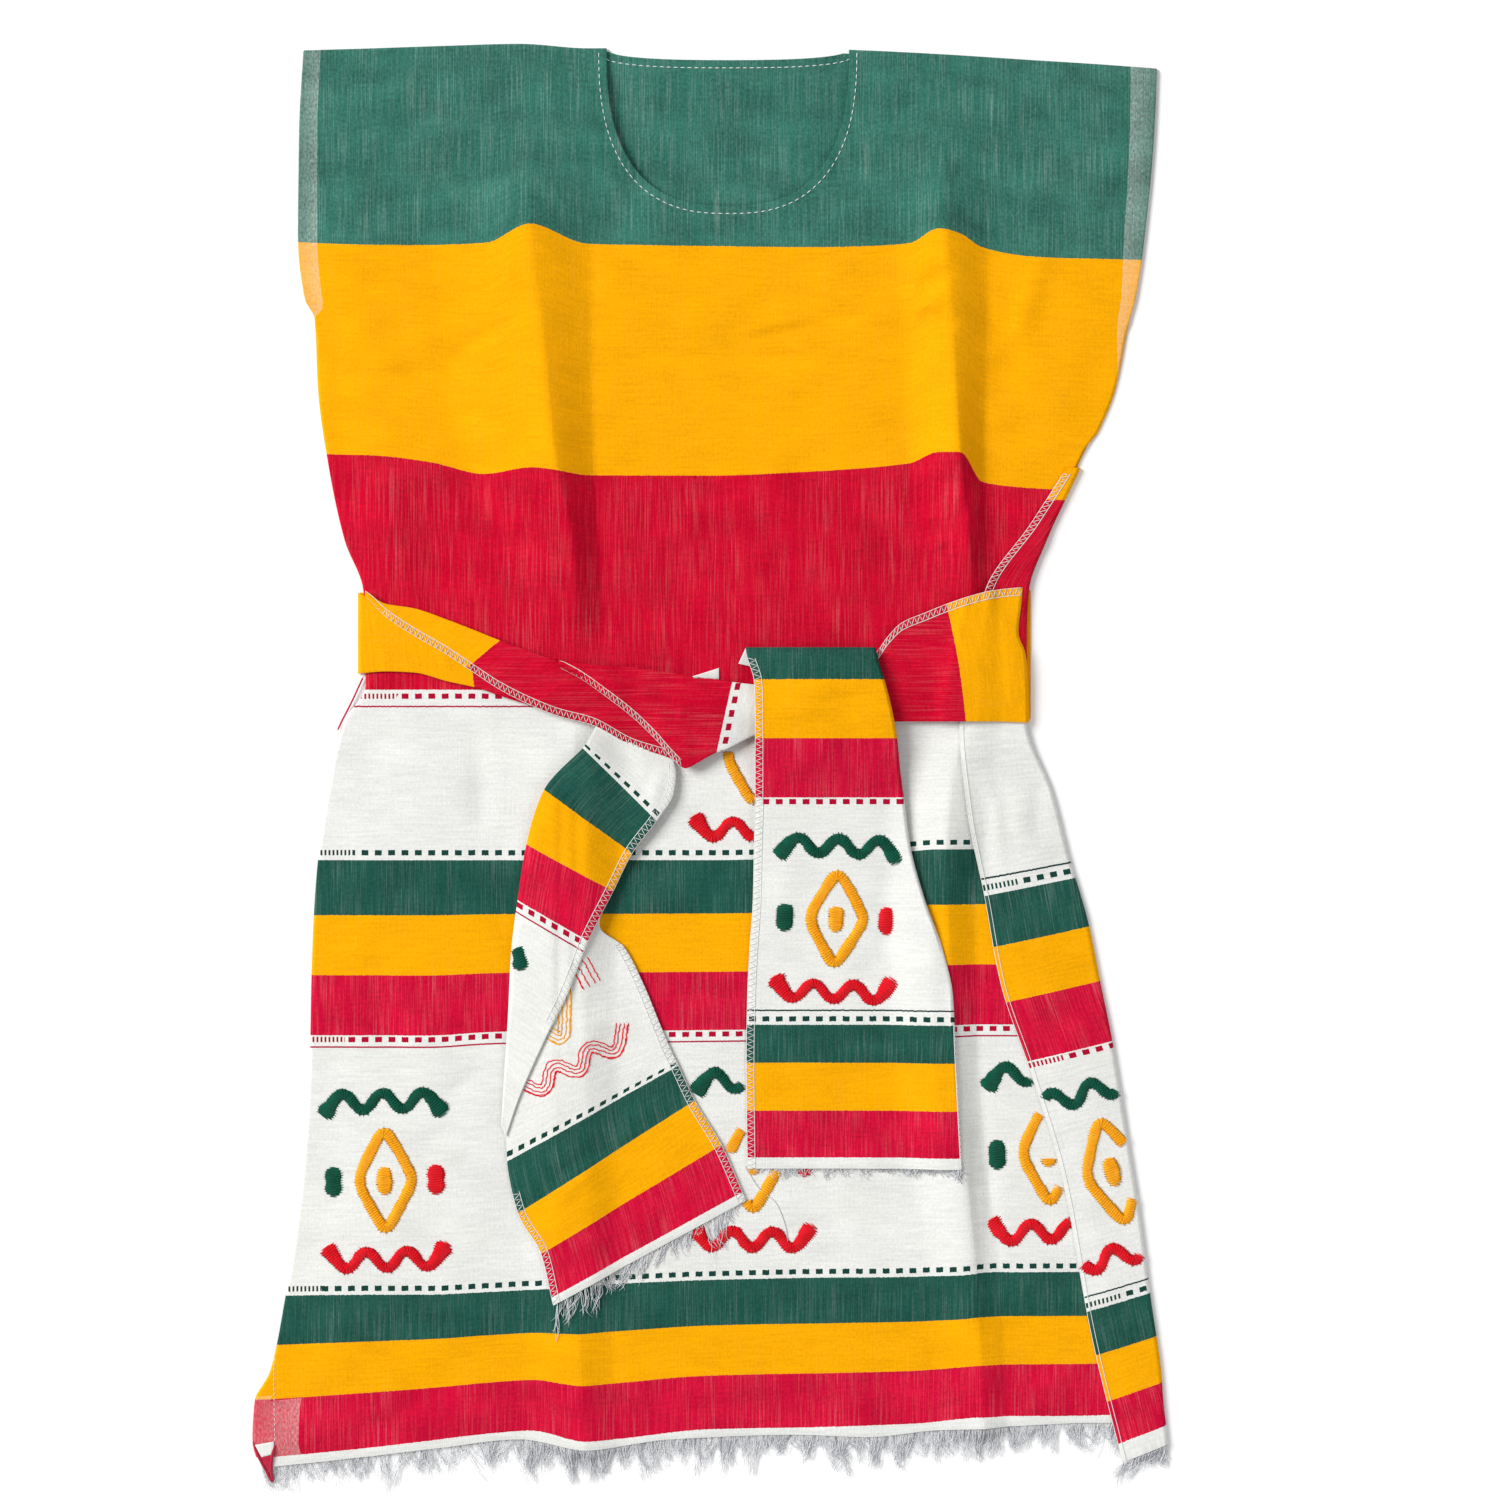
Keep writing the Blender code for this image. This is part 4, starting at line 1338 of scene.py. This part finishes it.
def satin(surface, path, half, heavy, rng):
    """One raised stroke: a soft core and the thread that crosses it over and over."""
    spots = resampled(path, STITCH_PITCH)
    ahead = heading(spots)
    across = sideways(ahead)
    run = STITCH_PITCH * np.arange(len(spots))
    end = np.minimum(run, run[::-1])
    cap = np.sqrt(1 - (1 - np.clip((end + 1.2) / (half + 1.2), 0, 1)) ** 2)
    knots = np.arange(0, run[-1] + 9, 4.5)
    uneven = np.interp(run, knots, rng.uniform(0.9, 1.1, knots.size))
    wide = half * cap * (1 + heavy * np.exp(-((end / 15) ** 2))) * uneven
    wide = wide * rng.uniform(0.94, 1.06, len(spots))
    found, z = top_at(spots[:, 0], spots[:, 1])
    sides = [top_at(*(spots + side * half * across).T)[0] for side in (-1, 1)]
    shown = np.array([{name, low, high} == {surface} for name, low, high in zip(found, *sides)])
    shown &= (surface != "front") | (spots[:, 1] < 84) | (spots[:, 1] > 300)
    cores, threads = [], []
    for first, last in runs(shown):
        part = slice(first, last)
        base = z[part] + CLOTH / 2
        core = np.column_stack([spots[part], base])[::2]
        size = np.column_stack([wide[part] * 0.9, PUFF * cap[part] ** 0.7 * 0.8])[::2]
        cores.append((core, size))
        offs = np.array((-1, -0.6, 0, 0.6))
        crossing = []
        for k in range(first, last):
            side = 1 if k % 2 else -1
            for off in offs * side:
                spot = spots[k] + across[k] * off * wide[k] + ahead[k] * STITCH_PITCH * (off * side + 1) / 2
                lift = PUFF * cap[k] ** 0.7 * np.sqrt(1 - 0.93 * off**2) * rng.uniform(0.9, 1.1)
                crossing.append((*spot, z[k] + CLOTH / 2 + lift - 0.1))
        threads.append(np.array(crossing))
    return cores, threads


def embroidery():
    """Every motif's strokes, gathered by colour into one piece of cores and one of thread."""
    rng = np.random.default_rng(21)
    cores = {colour: [] for colour in ("green", "yellow", "red")}
    threads = {colour: [] for colour in cores}
    for surface, x, y, degrees, tall in MOTIF_PLACES:
        for colour, half, heavy, stroke in MOTIF:
            path = turned(rounded(stroke), (x, y), degrees, tall)
            core, thread = satin(surface, path, half, heavy, rng)
            cores[colour] += core
            threads[colour] += thread
    for colour in cores:
        name = "embroidery_" + colour
        finish, over = FINISH[name], threads[colour]
        tubes(name + "_core", *zip(*cores[colour]), finish, "dress_cloth", sides=8)
        tubes(name + "_thread", over, [0.5] * len(over), finish, "dress_cloth", sides=3)


def reverse_outlines():
    """On the sash's turned side only the outlines of the strokes come through, in thin uneven stitching."""
    rng = np.random.default_rng(8)
    surface, x, y, degrees, tall = REVERSE_MOTIF
    lines = {colour: [] for colour in ("green", "yellow", "red")}
    for colour, half, _, stroke in MOTIF:
        for out in (-half, half, 0.3 * half, -0.4 * half, 0.9 * half):
            path = resampled(turned(rounded(stroke), (x, y), degrees, tall), 1.6)
            path = path + out * sideways(heading(path)) + rng.normal(0, 0.36, path.shape)
            found, z = top_at(path[:, 0], path[:, 1])
            shown = np.array([name == surface for name in found])
            for first, last in runs(shown):
                lift = CLOTH / 2 + 0.18 + 0.12 * (np.arange(last - first) % 3)
                lines[colour].append(np.column_stack([path[first:last], z[first:last] + lift]))
    for colour, paths in lines.items():
        if paths:
            tubes("outline_" + colour, paths, [0.5] * len(paths), FINISH["embroidery_" + colour],
                  "sash_cloth", sides=4)


def sewing():
    """Topstitches along the neck and side seams, and the overlocked edges of the sash and the wrap."""
    thread = FINISH["thread"]
    stitches("neck_stitches_front", neck_line(NECK_DEPTH_FRONT, 7.0), 4.6, 6.4, 0.42, thread, ["front"])
    stitches("neck_stitches_back", neck_line(NECK_DEPTH_BACK, 7.0), 4.6, 6.2, 0.42, thread, ["back"])
    stitches("side_stitches", [(-391, -516), (-391, -560), (-390, -606)], 3.2, 4.6, 0.32, thread, ["front"])
    edges = [
        ("overlock_belt_lap", overlock(belt_lap_place, "along", 0, 0.0, 0.98)),
        ("overlock_belt_knot", overlock(belt_knot_place, "along", 0, 0.0, 0.58)),
        ("overlock_belt_right", overlock(belt_right_place, "along", 1, 0.2, 0.94)),
        ("overlock_tail_right", overlock(tail_right_place, "across", 0, 0.0, 0.985)
         + overlock(tail_right_place, "across", 1, 0.0, 0.28)),
        ("overlock_tail_face", overlock(tail_face_place, "across", 1, 0.28, 0.97)),
        ("overlock_tail_reverse", overlock(tail_reverse_place, "across", 1, 0.0, 0.72)
         + overlock(tail_reverse_place, "across", 0, 0.0, 0.24)),
        ("overlock_wrap", overlock(wrap_place, "across", 0, 0.84, 0.995)),
        ("wrap_edge", overlock(wrap_place, "across", 0, 0.0, 0.84, width=3.0)[1:]),
    ]
    for name, paths in edges:
        tubes(name, paths, [THREAD] * len(paths), thread, "sash_cloth", sides=4)


def patch(name, corners, lift, finish):
    """A small piece of cloth that shows between larger ones, over four corners in mm."""
    corners = np.array(corners, float)[..., None]

    def place(across, along):
        near = blend(corners[0], corners[1], across)
        far = blend(corners[3], corners[2], across)
        x, y = blend(near, far, along)
        return x, y, np.maximum(top_at(x, y, ["front", "belt_knot"])[1], LEAST_TOP) + CLOTH + lift

    def plain(across, along, x, y):
        return x, 0 * y, *NO_EDGE

    return cloth(name, 6, 6, place, plain, FINISH[finish], "sash_cloth", own_node=False)


def rolled_edges():
    """Narrow dark folds where the back's edge rolls over: two at the hem's left corner, one at the waist."""
    folds = (
        [(-410, -603), (-407, -613), (-399, -628), (-393, -640)],
        [(-390, -606), (-393, -618), (-394, -629), (-392, -640)],
        [(-311, 84), (-322, 60), (-330, 45), (-334, 36)],
    )
    paths = [resampled(rounded(fold), 2.0) for fold in folds]
    heights = [np.maximum(top_at(path[:, 0], path[:, 1])[1], LEAST_TOP) for path in paths]
    spots = [np.column_stack([path, height + CLOTH]) for path, height in zip(paths, heights)]
    tubes("rolled_edges", spots, [0.9, 1.3, 0.8], FINISH["rolled"], "dress_cloth", sides=8)


def loose_thread(points):
    """One warp end that has come away from the sash and lies over the dress."""
    path = resampled(rounded(points, 3), 3.0)
    z = top_at(path[:, 0], path[:, 1])[1]
    spots = np.column_stack([path, z + CLOTH])
    # The loose thread takes the fringe finish: off-white cotton darkened by painted shade.
    tubes("loose_thread", [spots], [0.5], FINISH["fringe"], "fringe_cotton", sides=5)


def dress():
    front = cloth("front", sum(FRONT_COLUMNS), sum(FRONT_ROWS), front_place, front_weave, FINISH["dress"],
                  "dress_cloth", NECK_DEPTH_FRONT)
    back = cloth("back", 56, sum(BACK_ROWS), back_place, front_weave, FINISH["dress"],
                 "dress_cloth", NECK_DEPTH_BACK)
    wrap = cloth("back_wrap", 32, 150, wrap_place, wrap_weave, FINISH["wrap"], "dress_cloth")


def sash():
    """Every stretch of the sash, with its grid, form, weave, finish, flat size and what it rests on."""
    laps = (
        ("belt_back", 48, 8, belt_back_place, back_turn, "sash", (0.61, 0.09), ["back"]),
        ("belt_left", 72, 25, belt_left_place, left_turn, "sash", (0.19, 0.06), ["front"]),
        ("belt_left_lap", 72, 20, belt_lap_place, lap_turn, "sash", (0.3, 0.04), ["belt_left"]),
        ("belt_knot", 70, 24, belt_knot_place, knot_turn, "wrap", (0.2, 0.065), ["belt_left_lap"]),
        ("belt_right", 60, 28, belt_right_place, right_turn, "sash", (0.2, 0.1), ["front", "back_wrap"]),
    )
    for name, columns, rows, place, turn, finish, flat, rest in laps:
        made = cloth(name, columns, rows, place, sash_weave(turn), FINISH[finish], "sash_cloth")
    right = cloth("tail_right", 36, 104, tail_right_place, tail_right_weave, FINISH["wrap"], "sash_cloth")
    finish = FINISH["sash"]
    weave = turned_weave(TAIL_FACE, TAIL_FACE_LINES)
    face = cloth("tail_left_face", 28, 90, tail_face_place, weave, finish, "sash_cloth")
    weave = turned_weave(TAIL_REVERSE, TAIL_REVERSE_LINES)
    reverse = cloth("tail_left_reverse", 28, 100, tail_reverse_place, weave, finish, "sash_cloth")


FINISH = {
    "dress": handwoven("woven_dress", "red_line", 3.0),
    "wrap": handwoven("woven_reverse", "green_line", 260.0),
    "sash": handwoven("woven_sash", "red_line", 510.0),
    # The fringe finish, also used for the loose thread, is grey-blue: off-white cotton with painted shade in
    # its colour.
    "fringe": spun("fringe_cotton", "fringe", (232, 233, 236)),
    "rolled": spun("rolled_edge", "dash_red", (196, 40, 74)),
    "thread": spun("sewing_thread", "thread", (230, 232, 230)),
    "embroidery_green": spun("embroidery_green", "embroidered_green", (8, 96, 74), sheen=0.08),
    "embroidery_yellow": spun("embroidery_yellow", "embroidered_yellow", (255, 184, 36), sheen=0.08),
    "embroidery_red": spun("embroidery_red", "embroidered_red", (238, 26, 44), sheen=0.08),
}
stage()
dress()
sash()
embroidery()
reverse_outlines()
sewing()
patch("knot_white", [(-15, 84.5), (9, 92), (9, 82), (-13, 83)], 0.2, "sash")
patch("tail_corner_white", [(26.5, 96), (33, 110), (40, 109), (39, 93)], 2.0, "sash")
patch("hem_corner_white", [(-408, -606), (-391, -603), (-391, -614), (-402, -617)], 0.4, "sash")
patch("hem_corner_fold", [(-407, -613), (-391, -611), (-393, -639), (-395, -639)], 0.0, "rolled")
rolled_edges()
loose_thread([(32, -355), (46, -378), (60, -386), (69, -409), (72, -432)])
FRONT_BED = cloth_bed(["front"])
fringe("fringe_front", front_place, 0.005, 0.995, 74, 15, (0, -1), (20, 36), floor_bed(0.9), 3)
fringe("fringe_back", back_place, 0.0, 1.0, 60, 8, (0, -1), (16, 26), floor_bed(0.4), 5)
fringe("fringe_wrap", wrap_place, 0.0, 0.98, 7, 16, (-0.2, -1), (14, 26), floor_bed(1.2), 7)
fringe("fringe_tail_left", tail_reverse_place, 0.02, 0.98, 15, 13, (-0.1, -1), (10, 34), FRONT_BED, 11)
fringe("fringe_tail_right", tail_right_place, 0.0, 1.0, 20, 10, (0, -1), (4, 11), FRONT_BED, 13)
